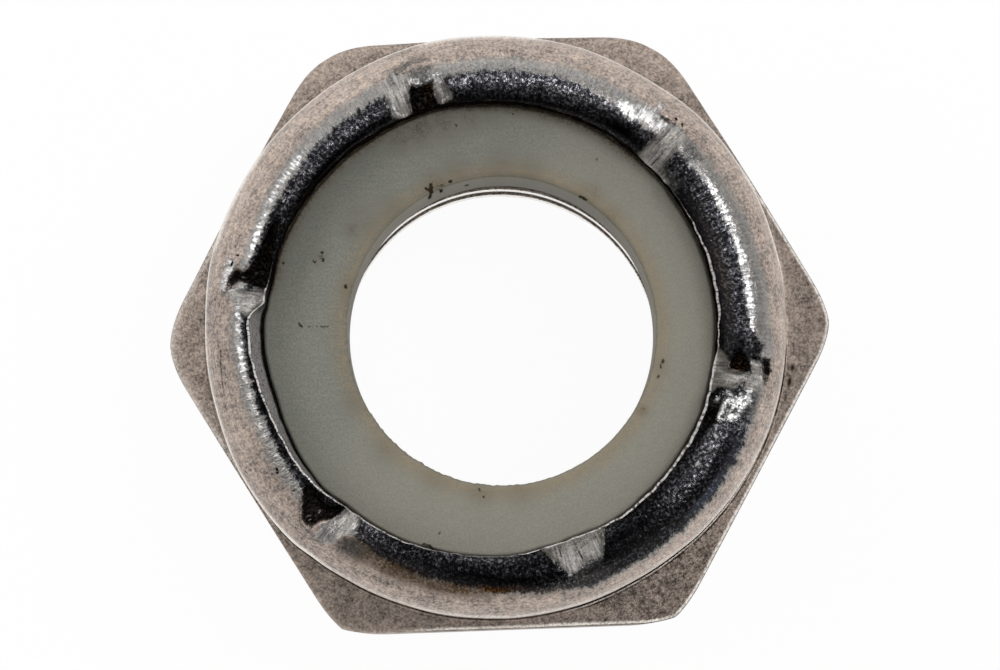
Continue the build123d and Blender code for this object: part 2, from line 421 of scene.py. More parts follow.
class ThreadSizes(bpy.types.PropertyGroup):
    """The right-hand thread and the cones at both ends of its bore."""

    pitch: length("Pitch", "From one crest to the next", 25.4 / 16)
    major_radius: length("Major radius", "At the root of the groove", 4.7625)
    minor_radius: length("Minor radius", "Of the bore", 3.97)
    root_flat: length("Root flat", "Width of the groove's floor", 25.4 / 256)
    start_height: length("Start height", "Of the groove's middle on +X, below the bearing face", -1.55)
    countersink_radius: length("Countersink radius", "At the bearing face", 4.8)
    shift_x: length("Shift along X", "How far the thread lies off the collar's axis", 0.07)
    shift_y: length("Shift along Y", "How far the thread lies off the collar's axis", -0.033)
    shelf_chamfer: length("Shelf chamfer", "On the bore's edge at the shelf", 0.3)


class InsertSizes(bpy.types.PropertyGroup):
    """The nylon ring."""

    top: length("Top", "Height of its top face", INSERT_HIGH.z)
    bottom: length("Bottom", "Height of the shelf that carries it", INSERT_LOW.z)
    radius: length("Radius", "Outside of the ring", INSERT_HIGH.x)
    bore_radius: length("Bore radius", "Of the smooth hole", 3.678)
    bore_shift_x: length("Bore shift along X", "How far the hole lies off the thread's axis", 0.075)
    bore_shift_y: length("Bore shift along Y", "How far the hole lies off the thread's axis", -0.05)
    rim_round: length("Rim round", "On the bore's top edge", 0.14)
    moat_depth: length("Moat depth", "How far the face sinks beside the lip", 0.15)
    moat_width: length("Moat width", "Of that sunken strip", 0.05)


class FinishColours(bpy.types.PropertyGroup):
    """The colours of the metal and the nylon."""

    steel: tint("Steel", "Tumbled steel", 200, 186, 177)
    steel_warm: tint("Warm steel", "Browner grains in the tumbled steel", 193, 173, 155)
    steel_dark: tint("Dark specks", "Small pits in the tumbled steel", 84, 70, 60)
    hexagon: tint("Hexagon", "The duller steel of the hexagon", 178, 163, 152)
    satin: tint("Satin steel", "Smoother metal beside the burnished band", 148, 147, 145)
    # The band is painted near black, a painted dark reflection over darker burnished metal, and its pale
    # grains are painted sparkle
    burnished_dark_reflection: tint("Burnished steel", "The dark band on the lip", 4, 4, 5)
    burnished_sparkle: tint("Pale burnish", "The lighter grains of the band", 146, 145, 150)
    facet: tint("Facet", "Scored faces of the stakes", 164, 162, 159)
    # Bruised metal, painted near white as a highlight
    bright: tint("Bright metal", "Bruised metal that shines", 246, 245, 245)
    # Worn edges: metal rubbed bright, painted as a highlight
    worn_glint: tint("Worn edge", "Edges rubbed bright", 240, 233, 225)
    # The lip's edge, scraped clean, painted as a highlight
    edge: tint("Lip edge", "The lip's sharp edge, scraped clean", 214, 209, 206)
    # The end face, painted lighter as lit
    face: tint("End face", "The clean end face of the lip", 150, 147, 145)
    pit: tint("Pit", "Deep hollows", 4, 3, 3)
    rust: tint("Rust", "Rust in hollows and on the band", 124, 80, 30)
    brown: tint("Brown stain", "Thin brown stain on the band", 94, 77, 59)
    temper: tint("Temper", "Blue heat tint on the band", 62, 76, 104)
    grime: tint("Grime", "Dark brown dirt in the corners", 48, 35, 24)
    nylon: tint("Nylon", "The insert", 137, 132, 118)
    nylon_cool: tint("Cool nylon", "Greyer clouds in the insert", 124, 127, 117)
    nylon_rim: tint("Nylon rim", "Warmer nylon beside the bore", 132, 119, 95)
    # The bore's wall is painted lighter, as painted light making up for the shade it lies in
    nylon_bore: tint("Nylon bore", "Light comes through the wall of the bore", 140, 132, 111)
    nylon_dirt: tint("Nylon dirt", "Stains on the insert", 76, 58, 32)
    nylon_speck: tint("Nylon specks", "Small marks on the insert", 34, 25, 17)


class StudioSettings(bpy.types.PropertyGroup):
    """The camera, the lamps and the floor."""

    lens: FloatProperty(
        name="Lens", description="Focal length for a 36 mm sensor", default=191.33, unit="CAMERA"
    )
    eye: FloatVectorProperty(
        name="Eye", description="Where the camera stands", default=(-0.0003168, -0.0077155, 0.1362861),
        subtype="TRANSLATION",
    )
    target: FloatVectorProperty(
        name="Target", description="What the camera looks at", default=(0.0000475, 0.0000952, 0.006),
        subtype="TRANSLATION",
    )
    roll: FloatProperty(
        name="Roll", description="Turn about the line of sight", default=0.0361, subtype="ANGLE"
    )
    floor_radius: length("Floor radius", "Of the round floor", 1500)
    floor_glow: FloatProperty(
        name="Floor glow", description="Share of the floor's white that shadows don't reach", default=0.96,
        subtype="FACTOR", min=0, max=1,
    )
    zenith: FloatProperty(name="Zenith", description="World strength overhead", default=0.35)
    horizon: FloatProperty(name="Horizon", description="World strength at the horizon", default=1.0)


# ------------------------------------------------------------------------------------ mesh helpers


def around(stations, angle):
    """Values given as (degrees, value) at a few angles, run smoothly round the whole turn."""
    known, values = np.array(stations, float).T
    known = np.concatenate([known[-1:] - 360, known, known[:1] + 360])
    values = np.concatenate([values[-1:], values, values[:1]])
    degrees = np.degrees(angle) % 360
    step = np.clip(np.searchsorted(known, degrees, side="right") - 1, 0, len(known) - 2)
    share = smooth_step(known[step], known[step + 1], degrees)
    return values[step] * (1 - share) + values[step + 1] * share


def lip_value(name, angle):
    """One measure of the lip's stations, run smoothly round the whole turn."""
    return around([(station.angle, getattr(station, name)) for station in LIP_STATIONS], angle)


def smooth_step(low, high, value):
    share = np.clip((value - low) / (high - low), 0, 1)
    return share * share * (3 - 2 * share)


def bump_at(distance, width):
    """1 where a distance is nothing, falling off on either side over a width."""
    return np.exp(-((distance / width) ** 2))


def smooth_least(first, second, blend):
    """The lesser of two values, rounded over where they meet."""
    share = np.clip(0.5 + 0.5 * (second - first) / blend, 0, 1)
    return second * (1 - share) + first * share - blend * share * (1 - share)


def turn_from(middle, angle):
    """How far angles are turned from a middle one given in degrees, from -pi to pi."""
    return (angle - math.radians(middle) + math.pi) % TURN - math.pi


def jitter(angle, seed, waves):
    """A fixed irregular line round the turn, about -1 to 1, with the given numbers of waves."""
    phases = np.random.default_rng(seed).uniform(0, TURN, len(waves))
    total = sum(np.sin(count * angle + phase) for count, phase in zip(waves, phases))
    return total / math.sqrt(len(waves))


def from_segment(start, end, along, out):
    """Distance of points from the straight line between two (along, out) pairs."""
    run_along, run_out = end[0] - start[0], end[1] - start[1]
    share = ((along - start[0]) * run_along + (out - start[1]) * run_out) / (run_along**2 + run_out**2)
    share = np.clip(share, 0, 1)
    return np.hypot(along - start[0] - share * run_along, out - start[1] - share * run_out)


def depth_inside(outline, along, out):
    """How deep points lie inside a closed outline, in mm; outside it the distance is negative."""
    nearest = np.full(along.shape, np.inf)
    inside = np.zeros(along.shape, bool)
    for start, end in zip(outline, outline[1:] + outline[:1]):
        nearest = np.minimum(nearest, from_segment(start, end, along, out))
        run_along, run_out = end[0] - start[0], end[1] - start[1]
        if run_out:
            crosses = (start[1] > out) != (end[1] > out)
            inside ^= crosses & (along < start[0] + (out - start[1]) * run_along / run_out)
    return np.where(inside, nearest, -nearest)


def near_line(stroke, along, out):
    """How deep points lie inside a stroke: its points, then half its width."""
    *points, half_width = stroke
    lines = zip(points, points[1:])
    return half_width - np.minimum.reduce([from_segment(start, end, along, out) for start, end in lines])


ROUNDING_STEPS = 3


def rounded_section(*corners):
    """Rows of (radius, height) through a section's corners: (radius, height, round, steps before it).

    Radii and heights are arrays over the turn or single numbers. A round replaces its corner by a short
    curve."""
    count = max(np.size(value) for corner in corners for value in corner[:2])
    points = [np.stack([np.broadcast_to(radius, count), np.broadcast_to(height, count)], axis=-1)
              for radius, height, _, _ in corners]
    rows = [points[0]]
    for index in range(1, len(corners)):
        here, (_, _, rounding, steps) = points[index], corners[index]
        start = here
        if index < len(corners) - 1 and rounding:
            back, ahead = points[index - 1] - here, points[index + 1] - here
            back_length = np.linalg.norm(back, axis=1, keepdims=True)
            ahead_length = np.linalg.norm(ahead, axis=1, keepdims=True)
            reach = np.minimum(rounding, 0.45 * np.minimum(back_length, ahead_length))
            start = here + back / back_length * reach
            end = here + ahead / ahead_length * reach
        last = rows[-1]
        for step in range(1, steps + 1):
            share = 0.5 - 0.5 * math.cos(math.pi * step / (steps + 1))
            rows.append(last * (1 - share) + start * share)
        rows.append(start)
        if start is not here:
            for step in range(1, ROUNDING_STEPS + 1):
                share = step / (ROUNDING_STEPS + 1)
                rows.append(start * (1 - share) ** 2 + here * 2 * share * (1 - share) + end * share**2)
            rows.append(end)
    return np.array(rows)


def turned(section, angle):
    """Points of section rows (rows, turn, 2) at these angles."""
    radius, height = section[..., 0], section[..., 1]
    return np.stack([radius * np.cos(angle), radius * np.sin(angle), height], axis=-1)


class Shell:
    """Vertices, faces and named values for each vertex, gathered into one mesh."""

    def __init__(self, value_names):
        self.points, self.faces, self.count = [], [], 0
        self.values = {name: [] for name in value_names}

    def add(self, points, values):
        """Adds points (…, 3) and their values, and returns the indices in the same shape."""
        shape = points.shape[:-1]
        indices = np.arange(self.count, self.count + int(np.prod(shape))).reshape(shape)
        self.points.append(points.reshape(-1, 3))
        for name, kept in self.values.items():
            kept.append(np.broadcast_to(values.get(name, 0.0), shape).reshape(-1))
        self.count += indices.size
        return indices

    def quads(self, lower, upper):
        """Quads between rows of indices that run round the turn the same way, closed on themselves."""
        corners = [lower, np.roll(lower, -1, -1), np.roll(upper, -1, -1), upper]
        self.faces.append(np.stack(corners, axis=-1).reshape(-1, 4))

    def fan(self, coarse, fine, outward):
        """Triangles between a coarse ring and one with a whole number of vertices to each of its own."""
        ratio = len(fine) // len(coarse)
        middle = ratio // 2
        triangles = []
        for index, here in enumerate(coarse):
            after = coarse[(index + 1) % len(coarse)]
            span = [fine[(index * ratio + step) % len(fine)] for step in range(ratio + 1)]
            triangles += [(here, span[step], span[step + 1]) for step in range(middle)]
            triangles.append((here, span[middle], after))
            triangles += [(after, span[step], span[step + 1]) for step in range(middle, ratio)]
        triangles = np.array(triangles)
        self.faces.append(triangles if outward else triangles[:, ::-1])

    def mesh(self, name):
        """The mesh, in metres, smooth, with double vertices and empty faces taken out."""
        made = bpy.data.meshes.new(name)
        points = np.concatenate(self.points) * MM
        made.from_pydata(points.tolist(), [], [face for group in self.faces for face in group.tolist()])
        for value_name, kept in self.values.items():
            layer = made.attributes.new(value_name, "FLOAT", "POINT")
            layer.data.foreach_set("value", np.concatenate(kept).astype(np.float32))
        clean_mesh(made)
        return made


def clean_mesh(made):
    """Joins vertices that lie on each other and drops the faces that this empties."""
    work = bmesh.new()
    work.from_mesh(made)
    bmesh.ops.remove_doubles(work, verts=work.verts, dist=1e-4 * MM)
    bmesh.ops.dissolve_degenerate(work, edges=work.edges, dist=1e-5 * MM)
    work.to_mesh(made)
    work.free()
    made.shade_smooth()
    made.validate()


def place_piece(name, made, material, node):
    """Puts a mesh in the scene in place of a node of the packed model."""
    piece = bpy.data.objects.new(name, made)
    bpy.context.scene.collection.objects.link(piece)
    made.materials.append(material)
    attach(piece, "root")
    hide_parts(node)


# ------------------------------------------------------------------------------------ shader helpers


class Wire:
    """A socket of a material's node tree that Python expressions can use."""

    def __init__(self, tree, socket):
        self.tree, self.socket = tree, socket

    def math(self, operation, *others, clamp=False):
        settings = {"operation": operation, "use_clamp": clamp}
        return self.tree.node("ShaderNodeMath", settings, {0: self, **dict(enumerate(others, 1))})

    def __add__(self, other):
        return self.math("ADD", other)

    def __sub__(self, other):
        return self.math("SUBTRACT", other)

    def __rsub__(self, other):
        return self.tree.node("ShaderNodeMath", {"operation": "SUBTRACT"}, {0: other, 1: self})

    def __mul__(self, other):
        return self.math("MULTIPLY", other)

    def __truediv__(self, other):
        return self.math("DIVIDE", other)

    __radd__, __rmul__ = __add__, __mul__

    def greatest(self, other):
        return self.math("MAXIMUM", other)

    def clamped(self):
        return self.math("ADD", 0.0, clamp=True)

    def step(self, low, high):
        """0 below low, 1 above high and smooth between."""
        settings = {"interpolation_type": "SMOOTHSTEP"}
        sockets = {"Value": self, "From Min": low, "From Max": high}
        return self.tree.node("ShaderNodeMapRange", settings, sockets)


class Tree:
    """The node tree of one material or world."""

    def __init__(self, owner):
        owner.use_nodes = True
        self.nodes, self.links = owner.node_tree.nodes, owner.node_tree.links
        self.nodes.clear()

    def node(self, kind, settings=None, sockets=None, output=0):
        """A node with its settings and its sockets' values or links. Returns the wanted output as a Wire."""
        made = self.nodes.new(kind)
        for name, value in (settings or {}).items():
            setattr(made, name, value)
        for key, value in (sockets or {}).items():
            socket = self.socket(made.inputs, key)
            if isinstance(value, Wire):
                self.links.new(value.socket, socket)
            else:
                socket.default_value = value
        return Wire(self, self.socket(made.outputs, output)) if len(made.outputs) else made

    @staticmethod
    def socket(sockets, key):
        if isinstance(key, int):
            return sockets[key]
        found = (item for item in sockets if key in (item.identifier, item.name) and item.enabled)
        return next(found)

    def attribute(self, name):
        return self.node("ShaderNodeAttribute", {"attribute_name": name}, output="Fac")

    def position(self):
        """The place on the piece, in mm."""
        place = self.node("ShaderNodeTexCoord", output="Object")
        return self.scaled(place, 1 / MM)

    def scaled(self, vector, factor):
        sockets = {0: vector, "Scale": factor}
        return self.node("ShaderNodeVectorMath", {"operation": "SCALE"}, sockets)

    def axes(self, vector):
        """The three parts of a vector."""
        return [self.node("ShaderNodeSeparateXYZ", None, {0: vector}, output=axis) for axis in range(3)]

    def combined(self, x, y, z):
        return self.node("ShaderNodeCombineXYZ", None, {0: x, 1: y, 2: z})

    def noise(self, vector, scale, detail, roughness):
        """Fractal noise about 0.5, for a place in mm."""
        sockets = {"Vector": vector, "Scale": scale, "Detail": detail, "Roughness": roughness}
        return self.node("ShaderNodeTexNoise", None, sockets, output="Fac")

    def mix(self, share, first, second):
        """A colour that goes from first to second as share goes from 0 to 1."""
        first, second = (end if isinstance(end, Wire) else (*end, 1.0) for end in (first, second))
        sockets = {"Factor_Float": share, "A_Color": first, "B_Color": second}
        return self.node("ShaderNodeMix", {"data_type": "RGBA"}, sockets, output="Result_Color")

    def blend(self, share, first, second):
        """A number that goes from first to second as share goes from 0 to 1."""
        sockets = {"Factor_Float": share, "A_Float": first, "B_Float": second}
        return self.node("ShaderNodeMix", {"data_type": "FLOAT"}, sockets, output="Result_Float")

    def bump(self, height):
        """Normals from a height in mm."""
        return self.node("ShaderNodeBump", None, {"Height": height, "Strength": 1.0, "Distance": MM})

    def surface(self, **named):
        """A surface shader: its sockets' values, by their names with _ for a space."""
        sockets = {name.replace("_", " "): value for name, value in named.items()}
        return self.node("ShaderNodeBsdfPrincipled", None, sockets)

    def dull_surface(self, colour, relief):
        """A dull surface without a shine of its own."""
        return self.surface(Base_Color=colour, Roughness=0.9, Metallic=0.0, Specular_IOR_Level=0.0,
                            Normal=relief)

    def covered(self, share, under, over):
        """One shader laid over another as share goes from 0 to 1."""
        return self.node("ShaderNodeMixShader", None, {0: share, 1: under, 2: over})

    def output(self, shader, kind="ShaderNodeOutputMaterial"):
        self.node(kind, None, {"Surface": shader})


# ------------------------------------------------------------------------------------ materials


def make_steel(colours):
    """Tumbled steel with turned and burnished places, told apart by the values kept on the mesh."""
    material = bpy.data.materials.new("steel")
    tree = Tree(material)
    place = tree.position()
    x, y, _ = tree.axes(place)
    radius = (x * x + y * y).math("SQRT")
    at = SimpleNamespace(**{name: tree.attribute(name) for name in BODY_VALUES})

    def polar(along, out):
        """A vector whose noise runs along the turn and outward at these numbers to a radian and a mm."""
        return tree.combined(x / radius * along, y / radius * along, radius * out)

    grit = tree.noise(place, 14.0, 2.0, 0.5).step(0.38, 0.62)
    dust = tree.noise(place, 27.0, 1.0, 0.5).step(0.38, 0.62)
    hue = tree.noise(place, 5.0, 3.0, 0.6).step(0.36, 0.64)
    clouds = tree.noise(place, 1.9, 3.0, 0.6)
    mottle = tree.noise(place, 5.0, 3.0, 0.65)
    speckle = tree.noise(place, 14.0, 2.5, 0.6).step(0.50, 0.68)
    spokes = tree.noise(polar(120.0, 2.0), 1.0, 2.0, 0.6).step(0.32, 0.68)
    flecks = tree.noise(polar(80.0, 4.0), 1.0, 2.0, 0.6)
    teeth = tree.noise(polar(50.0, 2.5), 1.0, 2.0, 0.6) - 0.5
    wound = tree.combined(x / radius * 7.0, y / radius * 7.0, at.section * 9.0)
    hoops = tree.noise(wound, 1.0, 4.0, 0.7)
    rag = tree.noise(place, 9.0, 3.0, 0.7) - 0.5
    fine_rag = tree.noise(place, 24.0, 2.0, 0.6) - 0.5

    # Tumbled metal: a fine grain in two hues, faint hoops and clouds, painted light where it is paler, and
    # small dark pits
    matte = tree.mix(hue * 0.45, colours.steel, colours.steel_warm)
    matte = tree.mix(at.hexagon, matte, colours.hexagon)
    tone = 0.40 + grit * 0.34 + dust * 0.22 + (flecks - 0.5) * 0.6
    tone = tone + (clouds - 0.5) * 0.7 + (mottle - 0.5) * 0.9
    tone = tone + at.pale * 0.22 + (hoops - 0.5) * at.turning * 0.8 - at.pitted * 0.10
    matte = tree.scaled(matte, tone.greatest(0.08))
    dots = tree.noise(place, 6.5, 2.0, 0.5).step(0.68, 0.75) * 0.6
    pitted = (rag + at.pitted * 0.10).step(0.12, 0.26) * at.pitted
    matte = tree.mix(dots.greatest(pitted * 0.8), matte, colours.steel_dark)
    # Edges rubbed bright, and painted highlights on the collar's rim, the hexagon's edges and the thread's
    # crests
    worn_glint = at.wear * (0.4 + grit * 0.6 + (mottle - 0.3) * 0.8)
    matte = tree.mix(worn_glint.clamped(), matte, colours.worn_glint)

    # Satin metal beside the band, brushed outward
    near_band = (at.burnish + at.satin + rag * 0.20).step(-0.10, 0.14)
    smooth = tree.mix(hue * 0.15, colours.satin, colours.steel_warm)
    smooth = tree.scaled(smooth, 0.62 + spokes * 0.20 + grit * 0.20 + dust * 0.14)
    colour = tree.mix(near_band, matte, smooth)
    colour = tree.mix((at.brown * (0.40 + grit * 0.60)).clamped(), colour, colours.brown)

    # The burnished band, painted near black as a painted dark reflection, with painted sheen and sparkle in
    # pale specks, and thin stains on it
    band_depth = at.burnish + teeth * 0.30 + fine_rag * 0.22
    in_band = band_depth.step(-0.05, 0.05)
    not_black = 1 - at.black
    sheen = (at.sheen * not_black).greatest(0.0)
    stained = at.brown.greatest(at.temper).greatest(at.rust).clamped()
    sheen_and_stain_colour = tree.mix(at.temper.clamped() * 0.8, colours.burnished_sparkle, colours.temper)
    sheen_and_stain_colour = tree.mix(at.brown.clamped() * 0.9, sheen_and_stain_colour, colours.brown)
    sheen_and_stain_colour = tree.mix(at.rust.clamped(), sheen_and_stain_colour, colours.rust)
    sheen_and_stain = speckle * (0.06 + sheen * 0.90) * not_black
    sheen_and_stain = sheen_and_stain + sheen * (0.03 + grit * 0.26 + spokes * 0.14)
    sheen_and_stain = sheen_and_stain.greatest(stained * (0.22 + speckle * 0.7))
    dark = tree.mix(sheen_and_stain.clamped(), colours.burnished_dark_reflection, sheen_and_stain_colour)
    colour = tree.mix(in_band, colour, dark)

    # Stake marks
    on_scuff = (at.scuff + rag * 0.24).step(-0.08, 0.10)
    scuffed = tree.scaled(colours.satin, 0.12 + grit * dust * 0.40 + spokes * 0.14 + speckle * 0.2)
    colour = tree.mix(on_scuff * 0.75, colour, scuffed)
    on_facet = (at.facet + rag * 0.12 + fine_rag * 0.10).step(-0.045, 0.045)
    scored = tree.mix(hue * 0.15, colours.facet, colours.steel_warm)
    facet_tone = 0.32 + spokes * 0.58 + grit * 0.22 + dust * 0.16 + (mottle - 0.5) * 0.8
    colour = tree.mix(on_facet, colour, tree.scaled(scored, facet_tone))

    # Painted highlights on bruised metal: torn bright spots between duller metal
    clear_of_band = 1 - band_depth.step(-0.02, 0.12)
    bare = at.bare * (0.55 + mottle * 0.9 + (flecks - 0.5) * 1.4) * clear_of_band
    bruise_glint = (at.glint + rag * 0.30 + fine_rag * 0.2).step(-0.08, 0.08).greatest(bare)
    halo = tree.scaled(colours.satin, 0.55 + grit * 0.55 + speckle * 0.45)
    colour = tree.mix(bruise_glint.step(0.15, 0.75) * 0.75, colour, halo)
    torn = (flecks * 0.65 + mottle * 0.35 + bruise_glint * 0.22).step(0.58, 0.84)
    on_glint = bruise_glint.step(0.20, 0.60) * torn
    colour = tree.mix(on_glint, colour, colours.bright)

    # Painted highlights on the lip's scraped edge and on light scratches
    on_scratch_glint = (at.scratch + fine_rag * 0.03).step(-0.012, 0.008)
    half_line = at.line * 0.034 + 0.006
    off_line = (at.lip_edge - 0.012 - at.line * 0.022 + fine_rag * 0.05).math("ABSOLUTE")
    edge_line = 1 - (off_line / half_line).step(0.6, 1.3)
    edge_line = edge_line * (at.line * 3.0).clamped() * (0.35 + flecks.step(0.30, 0.55) * 0.65)
    edge_and_scratch_glint = edge_line.greatest(on_scratch_glint * 0.75)

    # Rust, dirt, dark hollows and cracks lie over the metal as a dull surface, and so do painted shade, the
    # painted-lit end face and painted highlights on the lip's edge and scratches
    in_pit = (at.pit + rag * 0.26 + fine_rag * 0.2).step(-0.04, 0.06)
    rusty = (at.rust * (speckle * 1.1)).clamped()
    on_cut = (at.cut + fine_rag * 0.035).step(-0.012, 0.008)
    grimy = (at.crease * 1.5 - 0.35 + (mottle - 0.2) * 0.9 * at.crease).clamped()
    dirt_and_painted_light_colour = tree.mix(speckle * 0.25, colours.pit, colours.steel_dark)
    # The bare end face, painted lighter as lit
    face_tone = 0.50 + dust * 0.46 + grit * 0.35 - (rag + 0.5).step(0.55, 0.66) * 0.5
    plain_face = tree.scaled(colours.face, face_tone)
    dirt_and_painted_light_colour = tree.mix((at.face + rag * 0.3).clamped(), dirt_and_painted_light_colour, plain_face)
    dirt_and_painted_light_colour = tree.mix(rusty * 0.8, dirt_and_painted_light_colour, colours.rust)
    dirt_and_painted_light_colour = tree.mix(grimy, dirt_and_painted_light_colour, colours.grime)
    dirt_and_painted_light_colour = tree.mix(on_cut, dirt_and_painted_light_colour, colours.pit)
    dirt_and_painted_light_colour = tree.mix(edge_and_scratch_glint, dirt_and_painted_light_colour, colours.edge)
    covered = (in_pit * (0.97 - flecks.step(0.58, 0.72) * 0.6)).greatest(rusty * 0.85)
    covered = covered.greatest(on_cut).greatest(grimy).greatest(at.shade).greatest(edge_and_scratch_glint * 0.95)

    polished = in_band * (1 - on_scuff) * (1 - on_facet)
    roughness = tree.blend(near_band, 0.52, 0.34)
    for share, rough in ((polished, 0.27), (on_glint, 0.30), (on_facet, 0.50), (at.thread, 0.15)):
        roughness = tree.blend(share, roughness, rough)

    tumbled = (grit * 0.003 + dust * 0.0015 - pitted * 0.02) * (1 - near_band)
    turned_lines = (hoops - 0.5) * at.turning * 0.004
    brushed = spokes * 0.004 * near_band.greatest(on_facet)
    rippled = (grit * 0.003 + mottle * 0.03) * near_band
    ragged = (rag * 0.04) * in_pit.greatest(on_scuff * 0.4).greatest(on_glint * 0.4)
    relief = tree.bump(tumbled + turned_lines + brushed + rippled + ragged)
    metal = tree.surface(Base_Color=colour, Roughness=roughness, Metallic=1.0, Normal=relief)
    tree.output(tree.covered(covered, metal, tree.dull_surface(dirt_and_painted_light_colour, relief)))
    return material


def make_nylon(colours, top):
    """Greenish grey nylon with a warm rim, dull clouds, specks and stains."""
    material = bpy.data.materials.new("nylon")
    tree = Tree(material)
    place = tree.position()
    x, y, z = tree.axes(place)
    at = SimpleNamespace(**{name: tree.attribute(name) for name in INSERT_VALUES})
    run_in = 1 + (z - top) * BORE_RUN / (x * x + y * y).math("SQRT")
    place = tree.combined(x * run_in, y * run_in, 0.0)
    clouds = tree.noise(place, 0.8, 2.0, 0.5)
    mottle = tree.noise(place, 6.0, 3.0, 0.6)
    hue = tree.noise(place, 17.0, 2.0, 0.6).step(0.35, 0.65)
    grit = tree.noise(place, 19.0, 2.0, 0.5).step(0.38, 0.62)
    rag = tree.noise(place, 18.0, 2.0, 0.6) - 0.5

    # Greyer and darker on the side from 95° to 195°
    colour = tree.mix((hue * 0.7 + at.soiled * 0.4).clamped(), colours.nylon, colours.nylon_cool)
    warm = (at.rim * 1.2 - 0.2) + (mottle - 0.5) * 2.2 * at.rim
    colour = tree.mix(warm.clamped() * 0.8, colour, colours.nylon_rim)
    # The bore's wall, painted lighter as painted light
    colour = tree.mix(at.bore.clamped(), colour, colours.nylon_bore)
    streaks = tree.noise(tree.combined(x * 2.0, y * 12.0, 0.0), 1.0, 3.0, 0.6) - 0.5
    tone = 0.78 + mottle * 0.22 + clouds * 0.12 + grit * (0.10 + at.soiled * 0.08) - at.soiled * 0.20
    tone = tone + (mottle - 0.5) * at.rim.greatest(at.bore).clamped() * 0.35
    # Painted light on the bore's wall, stronger on its shaded side
    tone = (tone + streaks * (0.08 + at.soiled * 0.16)) * at.bore.greatest(1.0)
    colour = tree.scaled(colour, tone)
    dull = (at.stain * (0.32 + grit * 1.0 + (mottle - 0.5) * 2.4)).clamped() * 0.8
    colour = tree.mix(dull, colour, colours.nylon_dirt)
    marked = (at.speck + rag * 0.10).step(-0.025, 0.005)
    # Painted shadow: the sunken strip beside the lip is painted black
    in_moat = (at.moat + rag * 0.5).step(0.4, 0.75)
    relief = tree.bump(mottle * 0.006 + grit * 0.0015)

    roughness = tree.blend(mottle, 0.50, 0.62)
    plain = tree.surface(Base_Color=colour, Roughness=roughness, Metallic=0.0, IOR=1.53, Normal=relief)
    dirt_and_painted_light_colour = tree.mix(in_moat, colours.nylon_speck, colours.pit)
    covered = (marked * 0.92).greatest(in_moat * 0.9)
    tree.output(tree.covered(covered, plain, tree.dull_surface(dirt_and_painted_light_colour, relief)))
    return material


# ------------------------------------------------------------------------------------ the nut's body

AZIMUTH_STEPS = 588
THREAD_COARSENESS = 3  # steps of the body to one of the thread
STAKE_CROWDING = 0.40  # how far the steps draw together at the stakes
FIRST_STAKE = math.radians(STAKES[0].angle)
LIP_ROWS = 46
EDGE_ROWS = 5  # over the lip's rounded edge
FACE_ROWS = 10  # down its end face
MARK_REACH = 2.3  # no mark runs farther than this from its own angle, in mm along the crest
FAR_OUTSIDE = -1.0

# What the body's mesh keeps for its material: depths inside marks in mm, and strengths
MARK_KINDS = ("facet", "scuff", "pit", "glint", "cut", "scratch")
BODY_VALUES = (*MARK_KINDS, "burnish", "lip_edge", "satin", "sheen", "black", "bare", "brown", "rust",
               "temper", "pale", "line", "section", "turning", "hexagon", "pitted", "wear", "crease", "shade",
               "face", "thread")
BLANK = {name: FAR_OUTSIDE for name in (*MARK_KINDS, "burnish", "lip_edge")}

# The collar was rolled a little out of round: (degrees from +X, outside radius of its wall in mm)
COLLAR_WALL = (
    (13, 6.90), (28, 6.956), (43, 7.00), (58, 6.97), (73, 7.02), (88, 7.03), (103, 7.08), (118, 7.066),
    (140, 7.065), (150, 7.05), (163, 7.058), (178, 6.99), (193, 6.99), (208, 7.04), (223, 7.05),
    (230, 6.993), (238, 6.953), (253, 6.915), (268, 6.872), (283, 6.836), (298, 6.80), (306, 6.803),
    (313, 6.83), (328, 6.855), (343, 6.877), (358, 6.867),
)

# The corners were turned off unevenly: (radius in mm, how far flat and corner run together), from +X on
CORNERS = ((8.06, 0.31), (7.94, 0.27), (7.935, 0.27), (7.975, 0.30), (8.12, 0.386), (8.12, 0.386))
FACING_LEAST = 0.5  # the cosine of the angle beyond which a flat doesn't bound the hexagon


def body_angles():
    """Angles of the body's vertices, closer together at the stakes."""
    turn = np.linspace(0, TURN, AZIMUTH_STEPS, endpoint=False)
    count = len(STAKES)
    return turn - STAKE_CROWDING / count * np.sin(count * (turn - FIRST_STAKE))


def side_radius(hexagon, angle):
    """Outside of the hexagon at these angles: flats, with the turned corners run into them."""
    side = np.full(angle.shape, np.inf)
    for flat in np.radians(range(30, 360, 60)):
        distance = hexagon.flat_distance + hexagon.lean_x * math.cos(flat) + hexagon.lean_y * math.sin(flat)
        facing = np.cos(angle - flat)
        reach = distance / MM / np.maximum(facing, FACING_LEAST)
        side = np.minimum(side, np.where(facing > FACING_LEAST, reach, np.inf))
    nearest = np.round(np.degrees(angle) / 60).astype(int) % 6
    turned_off, blend = np.array(CORNERS)[nearest].T
    return smooth_least(side, turned_off, blend)


